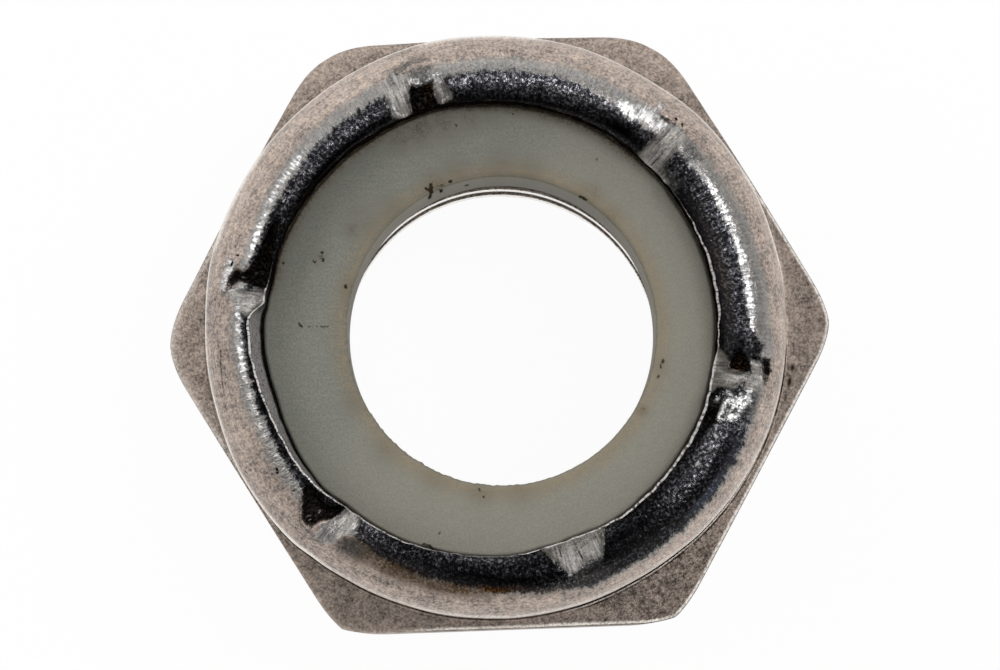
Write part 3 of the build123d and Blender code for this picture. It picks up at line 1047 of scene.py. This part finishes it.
def stake_values(angle, out):
    """What the stakes leave at places on the lip: a depth inside each kind of mark, in mm."""
    kinds = {name: np.full(out.shape, FAR_OUTSIDE) for name in MARK_KINDS}
    crest = bpy.context.scene.nut_collar.crest_radius / MM

    def mark(name, middle, shapes, depth):
        """Marks the shapes that are given from one angle, with a function for the depth inside them."""
        along = np.broadcast_to(turn_from(middle, angle) * crest, out.shape)
        near = np.abs(along) < MARK_REACH
        for shape in shapes:
            kinds[name][near] = np.maximum(kinds[name][near], depth(shape, along[near], out[near]))

    for stake in STAKES:
        for name in ("facet", "scuff", "pit", "glint"):
            mark(name, stake.angle, getattr(stake, name + "s"), depth_inside)
        mark("cut", stake.angle, stake.cuts, near_line)
    for name, scratches in (("scratch", SCRATCH_GLINTS), ("cut", DARK_SCRATCHES)):
        for middle, strokes in scratches.items():
            mark(name, middle, strokes, near_line)
    return kinds


PRESS_OUTER, PRESS_INNER = 0.55, -0.6  # out from the crest, in mm: facets deepen inward between these
CUT_DEPTH = 0.04


def lip_rows(collar, angle, wall, edge_reach):
    """Rows over the shoulder and the crest to the lip's edge, with the stakes pressed into them."""
    crest = collar.crest_radius / MM
    rise = collar.shoulder_height / MM
    width = wall - crest
    swept = np.linspace(0, 1, LIP_ROWS)[:, None] * np.arccos(edge_reach / width)
    out = width * np.cos(swept)
    height = collar.height / MM - rise + rise * np.sin(swept)
    marks = stake_values(angle, out)
    inward = np.clip((PRESS_OUTER - out) / (PRESS_OUTER - PRESS_INNER), 0, 1)
    pressed = collar.stake_depth / MM * inward * smooth_step(-0.05, 0.10, marks["facet"])
    torn = collar.pit_depth / MM * smooth_step(-0.05, 0.18, marks["pit"])
    height = height - np.maximum(pressed, torn) - CUT_DEPTH * smooth_step(0.0, 0.02, marks["cut"])
    return np.stack([crest + out, height], axis=-1), marks


def arc(angle, start, end, fade):
    """1 on an arc that runs anticlockwise between two angles in degrees, fading out beyond both."""
    beyond = np.abs(turn_from((start + end) / 2, angle)) - math.radians((end - start) / 2)
    return smooth_step(math.radians(fade), 0, beyond)


def lip_patches(angle, reach):
    """Strength of each kind of soft patch."""
    kinds = {}
    for kind, patches in LIP_PATCHES.items():
        spots = []
        for middle, distance, spread, width, strength in patches:
            along = bump_at(np.degrees(turn_from(middle, angle)), spread)
            spots.append(strength * along * bump_at(reach - distance, width))
        kinds[kind] = np.maximum.reduce(spots)
    return kinds


# Corners that are painted paler than the rest of the chamfer, as painted light: (degrees from +X, strength)
LIT_CORNERS = ((60, 0.9), (120, 0.9), (180, 0.6), (240, 0.8), (300, 0.2))


def chamfer_light(angle, radii, side):
    """Painted light on the chamfer: paler out at the corners and beside the collar at the upper right."""
    outer = smooth_step(0.45, 0.05, side - radii)
    corners = sum(strength * arc(angle, middle - 7, middle + 7, 9) for middle, strength in LIT_CORNERS)
    near_collar = smooth_step(0.15, 0.0, radii - 7.05) * arc(angle, 10, 140, 20)
    return outer * corners + 0.6 * near_collar


# How far out the corners of the grooved ledge round the collar's root lie, as shares of its width
LEDGE_OUTER, LEDGE_HOLLOW, LEDGE_RIDGE, LEDGE_INNER = 1.0, 0.68, 0.36, 0.04


def body_shape(scene, angle):
    """Where the outside of the body, its lip and its pocket run, in mm, and where marks lie on the lip."""
    hexagon, collar, thread, insert = scene.nut_hexagon, scene.nut_collar, scene.nut_thread, scene.nut_insert
    slope = math.tan(hexagon.chamfer_angle)
    side = side_radius(hexagon, angle)
    flat = hexagon.flat_distance / MM
    bearing = hexagon.bearing_radius / MM
    wall = around(COLLAR_WALL, angle)
    side_bottom = (side - bearing) * slope
    side_top = hexagon.flat_height / MM - (side - flat) * slope
    root = hexagon.flat_height / MM + (flat - wall) * slope
    wall_top = (collar.height - collar.shoulder_height) / MM
    edge_round = hexagon.edge_round / MM
    groove = collar.root_groove / MM
    ledge = np.clip(side - wall - 0.02, 0.03, 0.14)
    edge_reach = lip_value("edge", angle) + 0.012 * jitter(angle, 1, (17, 29, 43, 71, 97))
    foot_reach = lip_value("foot", angle) + 0.010 * jitter(angle, 2, (19, 31, 53, 83))
    band_limit = lip_value("band", angle) + 0.015 * jitter(angle, 5, (23, 41, 67, 101))

    def on_ledge(share, lift):
        """A corner of the ledge, with its round."""
        return wall + share * ledge, root - share * ledge * slope + lift, 0.02

    outside = rounded_section(
        (thread.countersink_radius / MM + 0.25, 0.0, 0, 0),
        (bearing, 0.0, 0.06, 4),
        (side, side_bottom, edge_round, 3),
        (side, side_top, edge_round, 5),
        (*on_ledge(LEDGE_OUTER, 0.0), 5),
        (*on_ledge(LEDGE_HOLLOW, -0.6 * groove), 0),
        (*on_ledge(LEDGE_RIDGE, 0.3 * groove), 0),
        (wall + LEDGE_INNER * ledge, root - groove, 0.02, 0),
        (wall, root + 0.12, 0.05, 1),
        (wall, wall_top, 0, 4),
    )
    lip, marks = lip_rows(collar, angle, wall, edge_reach)
    crest = collar.crest_radius / MM
    top = insert.top / MM
    pocket = collar.pocket_radius / MM
    pocket_corner = collar.pocket_corner / MM
    shelf = insert.bottom / MM
    foot = crest + foot_reach
    under = np.maximum(pocket - pocket_corner, foot + 0.05)
    shelf_edge = (thread.minor_radius + thread.shelf_chamfer) / MM
    inside = rounded_section(
        (lip[-2, :, 0], lip[-2, :, 1], 0, 0),
        (lip[-1, :, 0], lip[-1, :, 1], collar.edge_round / MM, 0),
        (foot, top + 0.01, 0.03, 7),
        (under, top, 0.0, 1),
        (pocket, top - pocket_corner, 0.03, 1),
        (pocket, shelf, 0.03, 1),
        (shelf_edge + 0.2, shelf, 0, 1),
    )[1:]

    return SimpleNamespace(
        section=np.concatenate([outside[:-1], lip[:-1], inside]), first_lip=len(outside) - 1, marks=marks,
        side=side, side_top=side_top, wall=wall, wall_top=wall_top, root=root, ledge=ledge, crest=crest,
        edge_reach=edge_reach, band_limit=band_limit, top=top, shelf=shelf,
    )


def body_values(shape, angle):
    """What the body's mesh keeps for its material, for each row and angle."""
    section, side, side_top, wall, root = shape.section, shape.side, shape.side_top, shape.wall, shape.root
    radii, rises = section[..., 0], section[..., 1]
    reach = radii - shape.crest
    row = np.arange(len(section))[:, None]
    first_lip = shape.first_lip
    lip_end = first_lip + LIP_ROWS - 1
    edge_end = lip_end + EDGE_ROWS
    on_lip = (row >= first_lip) & (row < edge_end)
    on_face = (row >= edge_end - 1) & (row < edge_end + FACE_ROWS)
    on_rim = (row >= lip_end) & (row < edge_end + FACE_ROWS)
    values = {name: np.full(radii.shape, BLANK.get(name, 0.0)) for name in BODY_VALUES}
    for name, kept in shape.marks.items():
        values[name][first_lip:lip_end] = kept[:-1]
        values[name][lip_end:edge_end] = kept[-1]
    steps = np.linalg.norm(np.diff(section, axis=0), axis=-1)
    travel = np.concatenate([np.zeros((1, len(angle))), np.cumsum(steps, axis=0)])
    values["section"] = travel - travel[first_lip]
    values["lip_edge"] = np.where(on_lip | on_rim, travel[lip_end + EDGE_ROWS // 2] - travel, FAR_OUTSIDE)
    values["line"] = lip_value("line", angle)
    values["burnish"] = np.where(on_lip, shape.band_limit - reach, FAR_OUTSIDE)
    values["satin"] = lip_value("satin", angle) * on_lip
    spots = lip_patches(angle, reach)
    pale = spots.pop("pale")
    from_edge = np.clip((reach - shape.edge_reach) / (shape.band_limit - shape.edge_reach), 0, 1.3)
    outer_sheen = 0.36 * (1 - 0.7 * arc(angle, 262, 325, 15)) * from_edge**2
    values["sheen"] = on_lip * np.clip(0.04 + outer_sheen + spots.pop("sheen"), 0, 1)
    for name, spot in spots.items():
        values[name] = on_lip * spot

    # The collar is turned and the hexagon is bar stock, worn along the edges that show, with painted
    # highlights on those edges and on the collar's rim
    on_collar = smooth_step(0.02, 0.08, rises - root) * (radii < wall + 0.03)
    off_collar = 1.0 - on_collar
    values["hexagon"] = off_collar
    values["turning"] = 0.3 + 0.7 * on_collar
    values["pale"] = on_lip * pale + off_collar * chamfer_light(angle, radii, side)
    near_top = smooth_step(side_top - 0.9, side_top - 0.1, rises)
    rough_arcs = np.maximum(arc(angle, 290, 312, 8), 0.2 * arc(angle, 318, 380, 8))
    values["pitted"] = near_top * off_collar * rough_arcs
    # Painted highlights on the rim of the collar's wall
    rim_side = 1.1 * arc(angle, 13, 225, 10) + 0.6 * arc(angle, 225, 343, 12)
    rim_side = rim_side * bump_at(radii - wall + 0.02, 0.04)
    glare = 1.3 * (arc(angle, 82, 101, 5) + arc(angle, 143, 160, 5))
    glare = glare * bump_at(radii - wall + 0.05, 0.07)
    wall_top = shape.wall_top
    rim_glint = np.maximum(rim_side, glare) * smooth_step(wall_top - 0.10, wall_top + 0.12, rises)
    # Painted highlights on the hexagon's edges, and painted shade just below the lower ones
    lower = arc(angle, 258, 388, 8)
    on_corner = bump_at(radii - side + 0.045, 0.030) * (np.abs(rises - side_top) < 0.2)
    left_corner = 0.5 * arc(angle, 150, 215, 8) * bump_at(radii - side + 0.06, 0.06)
    corner_glint = np.maximum(1.2 * lower * on_corner, left_corner * near_top)
    under_edge = smooth_step(side_top - 0.45, side_top - 0.15, rises) * (rises < side_top + 0.2)
    values["shade"] = 0.9 * lower * (radii > side - 0.012) * under_edge

    # A tool groove runs round the root, with dirt in it on one side
    near_root = np.abs(rises - root) < 0.16
    grooved = arc(angle, 290, 350, 12) * (0.75 + 0.25 * jitter(angle, 7, (11, 23, 37, 61)))
    grooved = np.clip(grooved, 0, 1)
    first = bump_at(radii - wall - 0.008, 0.028)
    second = bump_at(radii - wall - LEDGE_HOLLOW * shape.ledge, 0.026)
    ridge = bump_at(radii - wall - LEDGE_RIDGE * shape.ledge, 0.020)
    crease = near_root * ((0.25 + 0.75 * grooved) * first + 0.9 * grooved * second)
    for middle, distance, half_length, half_width in CHAMFER_SPOTS:
        along = turn_from(middle, angle) * distance
        spot = bump_at(along, half_length) * bump_at(radii - distance, half_width)
        crease = np.maximum(crease, 1.1 * spot * (rises > side_top - 0.1) * (1 - on_lip))
    values["crease"] = crease
    values["wear"] = np.maximum.reduce([rim_glint, corner_glint, near_root * grooved * ridge * 0.9])

    # The lip's end face is bare and painted lighter, as lit, to the left, and painted black as shade under
    # the rest of the edge
    near_foot = smooth_step(0.34, 0.26, rises - shape.top)
    values["face"] = on_face * lip_value("face", angle) * (1 - near_foot)
    values["shade"] = np.where(row >= edge_end - 1, 1.0, values["shade"])
    values["satin"] = np.where(on_face, 3.0, values["satin"])
    return values


def add_bore(shell, thread, shelf, angle, skin):
    """The thread and the cones at both ends of the bore, joined to the skin's first and last row."""
    bore = thread_points(thread, shelf, angle)
    sunk = smooth_step(0.03, 0.12, bore[..., 0] - thread.minor_radius / MM)
    shift = (thread.shift_x * np.cos(angle) + thread.shift_y * np.sin(angle)) / MM
    bore[..., 0] += shift
    crests = 1.0 - sunk
    # The thread's crests are painted as highlights and its grooves as shade
    values = {**BLANK, "section": bore[..., 2], "turning": 0.4, "wear": crests, "thread": crests}
    helix = shell.add(turned(bore[..., :2], angle), {**values, "shade": 0.98 * sunk})
    corners = [helix[:-1, :-1], helix[:-1, 1:], helix[1:, 1:], helix[1:, :-1]]
    shell.faces.append(np.stack(corners, axis=-1).reshape(-1, 4)[:, ::-1])
    turn_rows = len(THREAD_PROFILE)
    lower, upper = helix[:-turn_rows - 1], helix[1:-turn_rows]
    corners = [lower[:, -1], helix[turn_rows:-1, 0], helix[turn_rows + 1:, 0], upper[:, -1]]
    shell.faces.append(np.stack(corners, axis=-1)[:, ::-1])
    shelf_edge = (thread.minor_radius + thread.shelf_chamfer) / MM
    bottom_ring = turned(np.stack([thread.countersink_radius / MM + shift, 0 * shift], axis=-1), angle)
    top_ring = turned(np.stack([shelf_edge + shift, shelf + 0 * shift], axis=-1), angle)
    shell.fan(shell.add(bottom_ring, BLANK), skin[0], outward=False)
    shell.fan(shell.add(top_ring, BLANK), skin[-1], outward=True)


def make_body_mesh(scene):
    """The steel body: one closed skin that runs round the section and round the turn."""
    angle = body_angles()
    shape = body_shape(scene, angle)
    shell = Shell(BODY_VALUES)
    skin = shell.add(turned(shape.section, angle), body_values(shape, angle))
    shell.quads(skin[:-1], skin[1:])
    add_bore(shell, scene.nut_thread, shape.shelf, angle[::THREAD_COARSENESS], skin)
    return shell.mesh("nut_body_skin")


# Section of the thread over one pitch: (part, share of the part's width, share of the groove's depth).
# Lands are measured away from the groove's edges, and the root from its middle.
THREAD_PROFILE = (
    ("land", -1.0, 0.0), ("land", -0.15, 0.0), ("land", -0.06, 0.0),
    ("flank", 0.0, 0.03), ("flank", 0.15, 0.17), ("flank", 0.5, 0.5), ("flank", 1.0, 0.97),
    ("root", -0.7, 1.0), ("root", 0.7, 1.0),
    ("rise", 0.0, 0.97), ("rise", 0.5, 0.5), ("rise", 0.85, 0.17), ("rise", 1.0, 0.03),
    ("land", 0.06, 0.0), ("land", 0.15, 0.0),
)
FLANK_SLOPE = math.tan(math.radians(30))


def thread_points(thread, shelf, angle):
    """Rows of (radius, height, travel) that follow the helix, held between the two cones of the bore."""
    pitch, minor, major = thread.pitch / MM, thread.minor_radius / MM, thread.major_radius / MM
    depth = major - minor
    half_root = thread.root_flat / MM / 2
    half_groove = half_root + depth * FLANK_SLOPE
    half_land = pitch / 2 - half_groove
    flank = half_groove - half_root
    offsets = []
    for part, place, _ in THREAD_PROFILE:
        if part == "land":
            offsets.append(math.copysign(half_groove, place) + place * half_land)
        elif part == "flank":
            offsets.append(-half_groove + place * flank)
        elif part == "root":
            offsets.append(place * half_root)
        else:
            offsets.append(half_root + place * flank)
    depths = np.array([share for _, _, share in THREAD_PROFILE]) * depth
    start = thread.start_height / MM
    turns = math.ceil((shelf - start) / pitch) + 2
    heights = np.concatenate([np.array(offsets) + pitch * turn for turn in range(turns)])
    height = start + heights[:, None] + pitch * (angle / TURN)[None, :]
    radius = np.broadcast_to(np.tile(minor + depths, turns)[:, None], height.shape)
    sink, chamfer = thread.countersink_radius / MM, thread.shelf_chamfer / MM
    radius = np.maximum(radius, np.maximum(sink - height, minor + chamfer - (shelf - height)))
    radius = np.where(height <= 0, sink, np.where(height >= shelf, minor + chamfer, radius))
    return np.stack([radius, np.clip(height, 0, shelf), height], axis=-1)


# ------------------------------------------------------------------------------------ the nylon ring

INSERT_STEPS = 900
RING_ROWS = 42  # across the ring's face
BORE_RUN = 0.11  # how far marks on the bore's wall run inward on the pattern to a mm of its depth, in mm
MARKS_TURN = math.radians(2.07)  # how far the pattern's own axes are turned
INSERT_VALUES = ("rim", "bore", "moat", "speck", "stain", "soiled")

# Specks on the nylon: (x, y) points of a stroke in mm from the axis, then half its width. Those nearer the
# axis than the bore's edge lie down its wall.
NYLON_SPECKS = (
    ((-1.61, 3.44), (-1.6, 3.36), 0.03), ((-1.6, 3.34), (-1.6, 3.24), 0.045),
    ((-1.6, 3.18), (-1.6, 3.1), 0.035), ((-1.72, 3.34), (-1.64, 3.3), 0.025),
    ((-1.35, 3.28), (-1.34, 3.27), 0.04), ((-1.45, 3.41), (-1.31, 3.43), 0.014),
    ((-1.16, 3.51), (-1.13, 3.51), 0.028), ((-0.76, 3.39), (-0.7, 3.4), 0.01),
    ((1.95, 3.14), (2.1, 3.08), 0.025), ((2.35, 4.05), (2.36, 4.04), 0.025),
    ((-1.01, 4.85), (-1.0, 4.84), 0.025), ((0.34, 5.13), (0.36, 5.12), 0.015),
    ((-4.19, 1.82), (-4.2, 1.79), 0.025), ((-4.24, 1.73), (-4.25, 1.71), 0.025),
    ((-4.18, 1.65), (-4.17, 1.63), 0.03), ((-4.38, 1.6), (-4.36, 1.59), 0.025),
    ((-3.63, 1.01), (-3.63, 1.0), 0.035), ((-4.74, 0.13), (-4.73, 0.12), 0.02),
    ((-4.7, 0.07), (-4.67, 0.06), 0.02), ((-4.52, 0.05), (-4.48, 0.05), 0.006),
    ((-4.36, 0.04), (-4.3, 0.04), 0.006), ((-4.2, 0.04), (-4.02, 0.04), 0.008),
    ((3.91, -0.76), (3.9, -0.82), 0.02), ((3.87, -0.88), (3.86, -0.91), 0.02),
    ((3.8, -1.12), (3.8, -1.15), 0.02), ((-1.39, -4.85), (-1.38, -4.86), 0.02),
    ((-0.45, -3.82), (-0.44, -3.83), 0.02), ((-0.36, -4.01), (-0.35, -4.02), 0.015),
    ((-5.1, 1.56), (-5.12, 1.54), 0.015), ((-1.78, -5.12), (-1.62, -5.17), (-1.48, -5.3), 0.018),
)

# Stains: (x, y, radius, strength)
NYLON_STAINS = (
    (-1.5, 3.42, 0.35, 0.6), (-1.05, 3.75, 0.4, 0.35), (-3.45, 2.36, 0.26, 0.6), (-3.2, 2.55, 0.45, 0.4),
    (-2.6, 2.85, 0.4, 0.35), (-4.25, 1.72, 0.2, 0.3), (-3.55, 0.95, 0.25, 0.35), (-1.9, 4.8, 0.45, 0.75),
    (-1.3, 4.9, 0.45, 0.6), (-0.75, 5.05, 0.4, 0.5), (-0.2, 5.1, 0.35, 0.3), (-2.35, 4.55, 0.35, 0.6),
    (0.1, 3.9, 0.45, 0.4), (0.75, 3.8, 0.35, 0.35), (2.2, 3.2, 0.35, 0.4), (2.7, 2.7, 0.3, 0.35),
    (3.43, -1.95, 0.13, 0.7), (3.85, -0.9, 0.25, 0.25), (0.5, -3.9, 0.4, 0.3), (-0.4, -3.9, 0.35, 0.4),
    (-1.5, -3.55, 0.35, 0.3), (-2.7, -2.9, 0.35, 0.35), (-3.5, -1.8, 0.3, 0.3),
)


def make_insert_mesh(scene):
    """The nylon ring, with a slightly ragged bore and a sunken strip beside the lip."""
    insert, collar = scene.nut_insert, scene.nut_collar
    angle = np.linspace(0, TURN, INSERT_STEPS, endpoint=False)
    bore = insert.bore_radius / MM
    top, bottom, outside = insert.top / MM, insert.bottom / MM, insert.radius / MM
    corner = collar.pocket_corner / MM
    ragged = 0.3 + 0.7 * smooth_step(0.1, 0.8, np.cos(angle - math.radians(212)))
    bore = bore + (insert.bore_shift_x * np.cos(angle) + insert.bore_shift_y * np.sin(angle)) / MM
    rim = bore + 0.022 * ragged * jitter(angle, 3, (13, 31, 59, 97, 149))
    foot = collar.crest_radius / MM + lip_value("foot", angle)
    open_edge = np.maximum(outside - corner, foot + 0.05)
    section = rounded_section(
        (open_edge, top, 0, 0),
        (rim, top, insert.rim_round / MM, RING_ROWS),
        (bore, top - 0.35, 0.05, 2),
        (bore, bottom, 0.1, 8),
        (outside, bottom, 0.03, 2),
        (outside, top - corner, 0.03, 1),
        (open_edge + 0.005, top - 0.005, 0, 0),
    )
    radius, height = section[..., 0], section[..., 1]
    on_top = height > top - 0.01
    from_foot = foot - radius
    in_moat = smooth_step(insert.moat_width / MM, 0.0, from_foot)

    # Marks on the bore's wall lie on its unrolled surface, straight on from the face
    unrolled = radius + BORE_RUN * np.minimum(height - top, 0.0)
    x, y = unrolled * np.cos(angle + MARKS_TURN), unrolled * np.sin(angle + MARKS_TURN)
    speck = np.full(x.shape, FAR_OUTSIDE)
    for stroke in NYLON_SPECKS:
        speck = np.maximum(speck, near_line(stroke, x, y))
    stain = np.zeros(x.shape)
    for at_x, at_y, size, strength in NYLON_STAINS:
        stain = np.maximum(stain, strength * np.exp(-((x - at_x) ** 2 + (y - at_y) ** 2) / size**2))
    under_lip = arc(angle, 50, 163, 12) * bump_at(from_foot, 0.20)
    open_moat = 1 - arc(angle, 317, 416, 14)
    in_bore = smooth_step(0.0, 0.10, top - height) * (radius < bore + 0.2)
    values = {
        "rim": smooth_step(0.7, 0.0, radius - bore) * on_top,
        # Painted light on the bore's wall, more from 95° to 130°
        "bore": in_bore * (1.0 + 0.18 * arc(angle, 95, 130, 30)),
        # Painted shadow in the sunken strip beside the lip
        "moat": in_moat * on_top * open_moat * (0.5 + 0.5 * arc(angle, 165, 222, 8)),
        # Darker and greyer on the side from 95° to 195°
        "soiled": arc(angle, 95, 195, 45) * on_top,
        "speck": np.where(radius < foot, speck, FAR_OUTSIDE),
        "stain": np.maximum(stain, under_lip) * (radius < foot + 0.1),
    }
    section[..., 1] -= insert.moat_depth / MM * in_moat * on_top
    shell = Shell(INSERT_VALUES)
    rows = shell.add(turned(section, angle), values)
    shell.quads(np.concatenate([rows[1:], rows[:1]])[:, ::-1], rows[:, ::-1])
    return shell.mesh("nylon_insert_skin")


# ------------------------------------------------------------------------------------ operators


class OBJECT_OT_nut_body(bpy.types.Operator):
    """Makes the steel body in place of the plain one"""

    bl_idname = "object.nut_body"
    bl_label = "Make the body"

    def execute(self, context):
        scene = context.scene
        steel = make_steel(scene.nut_colours)
        place_piece("lock_nut_body", make_body_mesh(scene), steel, BODY_NODE)
        return {"FINISHED"}


class OBJECT_OT_nut_insert(bpy.types.Operator):
    """Makes the nylon ring in place of the plain one"""

    bl_idname = "object.nut_insert"
    bl_label = "Make the insert"

    def execute(self, context):
        scene = context.scene
        nylon = make_nylon(scene.nut_colours, scene.nut_insert.top / MM)
        place_piece("lock_nut_insert", make_insert_mesh(scene), nylon, INSERT_NODE)
        return {"FINISHED"}


class Softbox(NamedTuple):
    """A lamp that faces the nut. Angles are in degrees, sizes in metres."""

    name: str
    azimuth: float
    from_vertical: float
    distance: float
    width: float  # along the turn
    depth: float  # towards the vertical
    radiance: float


SOFTBOXES = (
    Softbox("right", 18, 17, 0.40, 0.09, 0.18, 9.0),
    Softbox("left", 166, 38, 0.40, 0.26, 0.14, 3.0),
    Softbox("back", 88, 60, 0.45, 0.40, 0.16, 1.2),
    Softbox("low", 305, 72, 0.45, 0.30, 0.14, 1.6),
)


class OBJECT_OT_nut_studio(bpy.types.Operator):
    """Sets the pale floor, the world, the soft lamps and the camera"""

    bl_idname = "object.nut_studio"
    bl_label = "Set the stage"

    def execute(self, context):
        studio = context.scene.nut_studio
        make_floor(studio)
        make_world(studio)
        for softbox in SOFTBOXES:
            hang(softbox)
        context.scene.camera = make_camera(studio)
        context.scene.view_settings.view_transform = "Standard"
        return {"FINISHED"}


FLOOR_STEPS = 96
FLOOR_RINGS = (1.0, 40.0, 400.0)


def make_floor(studio):
    """A round white floor, shaded by the nut and otherwise as bright as the background."""
    shell = Shell(())
    angle = np.linspace(0, TURN, FLOOR_STEPS, endpoint=False)
    level = np.zeros(FLOOR_STEPS)
    radii = (*FLOOR_RINGS, studio.floor_radius / MM)
    rings = np.array([np.stack([level + radius, level], axis=-1) for radius in radii])
    rows = shell.add(turned(rings, angle), {})
    shell.quads(rows[:-1], rows[1:])
    shell.faces.append(rows[:1, ::-1])
    made = shell.mesh("floor_disc")
    made.flip_normals()
    floor = bpy.data.objects.new("floor", made)
    bpy.context.scene.collection.objects.link(floor)
    material = bpy.data.materials.new("floor")
    tree = Tree(material)
    path = [tree.node("ShaderNodeLightPath", output=name)
            for name in ("Is Camera Ray", "Is Glossy Ray", "Is Transmission Ray")]
    seen = (path[0] + path[1] + path[2]).clamped() * studio.floor_glow
    cloth = tree.surface(Base_Color=(0.92, 0.92, 0.92, 1.0), Roughness=0.9)
    white = tree.node("ShaderNodeEmission", None, {"Color": (1, 1, 1, 1), "Strength": 1.0})
    tree.output(tree.covered(seen, cloth, white))
    made.materials.append(material)


# How high the world's fades run, from 0 at the horizon to 1 overhead
HORIZON_FADE = (0.03, 0.45)
ZENITH_FADE = (0.6, 0.95)


def make_world(studio):
    """A light tent: bright round the horizon, dim overhead and a little brighter to the back."""
    world = bpy.data.worlds.new("studio")
    bpy.context.scene.world = world
    tree = Tree(world)
    way = tree.node("ShaderNodeTexCoord", output="Generated")
    _, y, z = tree.axes(way)
    middle = studio.zenith + 0.15 + y * 0.35
    level = tree.blend(z.step(*HORIZON_FADE), studio.horizon, middle)
    level = tree.blend(z.step(*ZENITH_FADE), level, studio.zenith)
    light = tree.node("ShaderNodeBackground", None, {"Color": (1, 1, 1, 1), "Strength": level})
    tree.output(light, "ShaderNodeOutputWorld")


def stand(place, right, up, back):
    """Where a lamp or a camera stands and which way it is turned."""
    return Matrix.Translation(place) @ Matrix((right, up, back)).transposed().to_4x4()


def hang(softbox):
    """Hangs one softbox, facing the nut."""
    turn, lean = math.radians(softbox.azimuth), math.radians(softbox.from_vertical)
    away = Vector((math.sin(lean) * math.cos(turn), math.sin(lean) * math.sin(turn), math.cos(lean)))
    lamp = bpy.data.lights.new(softbox.name, "AREA")
    lamp.shape = "RECTANGLE"
    lamp.size, lamp.size_y = softbox.width, softbox.depth
    lamp.energy = softbox.radiance * math.pi * softbox.width * softbox.depth
    holder = bpy.data.objects.new(softbox.name, lamp)
    along = Vector((-math.sin(turn), math.cos(turn), 0))
    holder.matrix_world = stand(away * softbox.distance, along, away.cross(along), away)
    holder.visible_camera = False
    bpy.context.scene.collection.objects.link(holder)


SENSOR_WIDTH = 36  # in mm
CLIP_RANGE = (0.001, 20)  # in metres


def make_camera(studio):
    """The camera, nearly overhead, turned a little about its line of sight."""
    eye, target = Vector(studio.eye), Vector(studio.target)
    ahead = (target - eye).normalized()
    level_right = ahead.cross(Vector((0, 1, 0))).normalized()
    level_up = level_right.cross(ahead)
    right = math.cos(studio.roll) * level_right - math.sin(studio.roll) * level_up
    up = math.sin(studio.roll) * level_right + math.cos(studio.roll) * level_up
    camera = bpy.data.cameras.new("camera")
    camera.lens = studio.lens
    camera.sensor_width = SENSOR_WIDTH
    camera.clip_start, camera.clip_end = CLIP_RANGE
    holder = bpy.data.objects.new("camera", camera)
    holder.matrix_world = stand(eye, right, up, -ahead)
    bpy.context.scene.collection.objects.link(holder)
    return holder


class VIEW3D_PT_nut(bpy.types.Panel):
    """Lists the nut's operators and sizes"""

    bl_idname = "VIEW3D_PT_nut"
    bl_label = "Lock nut"
    bl_space_type = "VIEW_3D"
    bl_region_type = "UI"
    bl_category = "Lock nut"

    def draw(self, context):
        for operator in OPERATORS:
            self.layout.operator(operator.bl_idname)
        for name, kind in PROPERTY_GROUPS.items():
            group = getattr(context.scene, name)
            box = self.layout.box()
            box.label(text=kind.__doc__)
            for prop in kind.__annotations__:
                box.prop(group, prop)


OPERATORS = (OBJECT_OT_nut_body, OBJECT_OT_nut_insert, OBJECT_OT_nut_studio)
PROPERTY_GROUPS = {
    "nut_hexagon": HexagonSizes,
    "nut_collar": CollarSizes,
    "nut_thread": ThreadSizes,
    "nut_insert": InsertSizes,
    "nut_colours": FinishColours,
    "nut_studio": StudioSettings,
}


def register():
    for kind in (*PROPERTY_GROUPS.values(), *OPERATORS, VIEW3D_PT_nut):
        bpy.utils.register_class(kind)
    for name, kind in PROPERTY_GROUPS.items():
        setattr(bpy.types.Scene, name, PointerProperty(type=kind))


def unregister():
    for name in PROPERTY_GROUPS:
        delattr(bpy.types.Scene, name)
    for kind in reversed((*PROPERTY_GROUPS.values(), *OPERATORS, VIEW3D_PT_nut)):
        bpy.utils.unregister_class(kind)


def main():
    register()
    bpy.ops.object.nut_body()
    bpy.ops.object.nut_insert()
    bpy.ops.object.nut_studio()


if __name__ == "__main__":
    main()
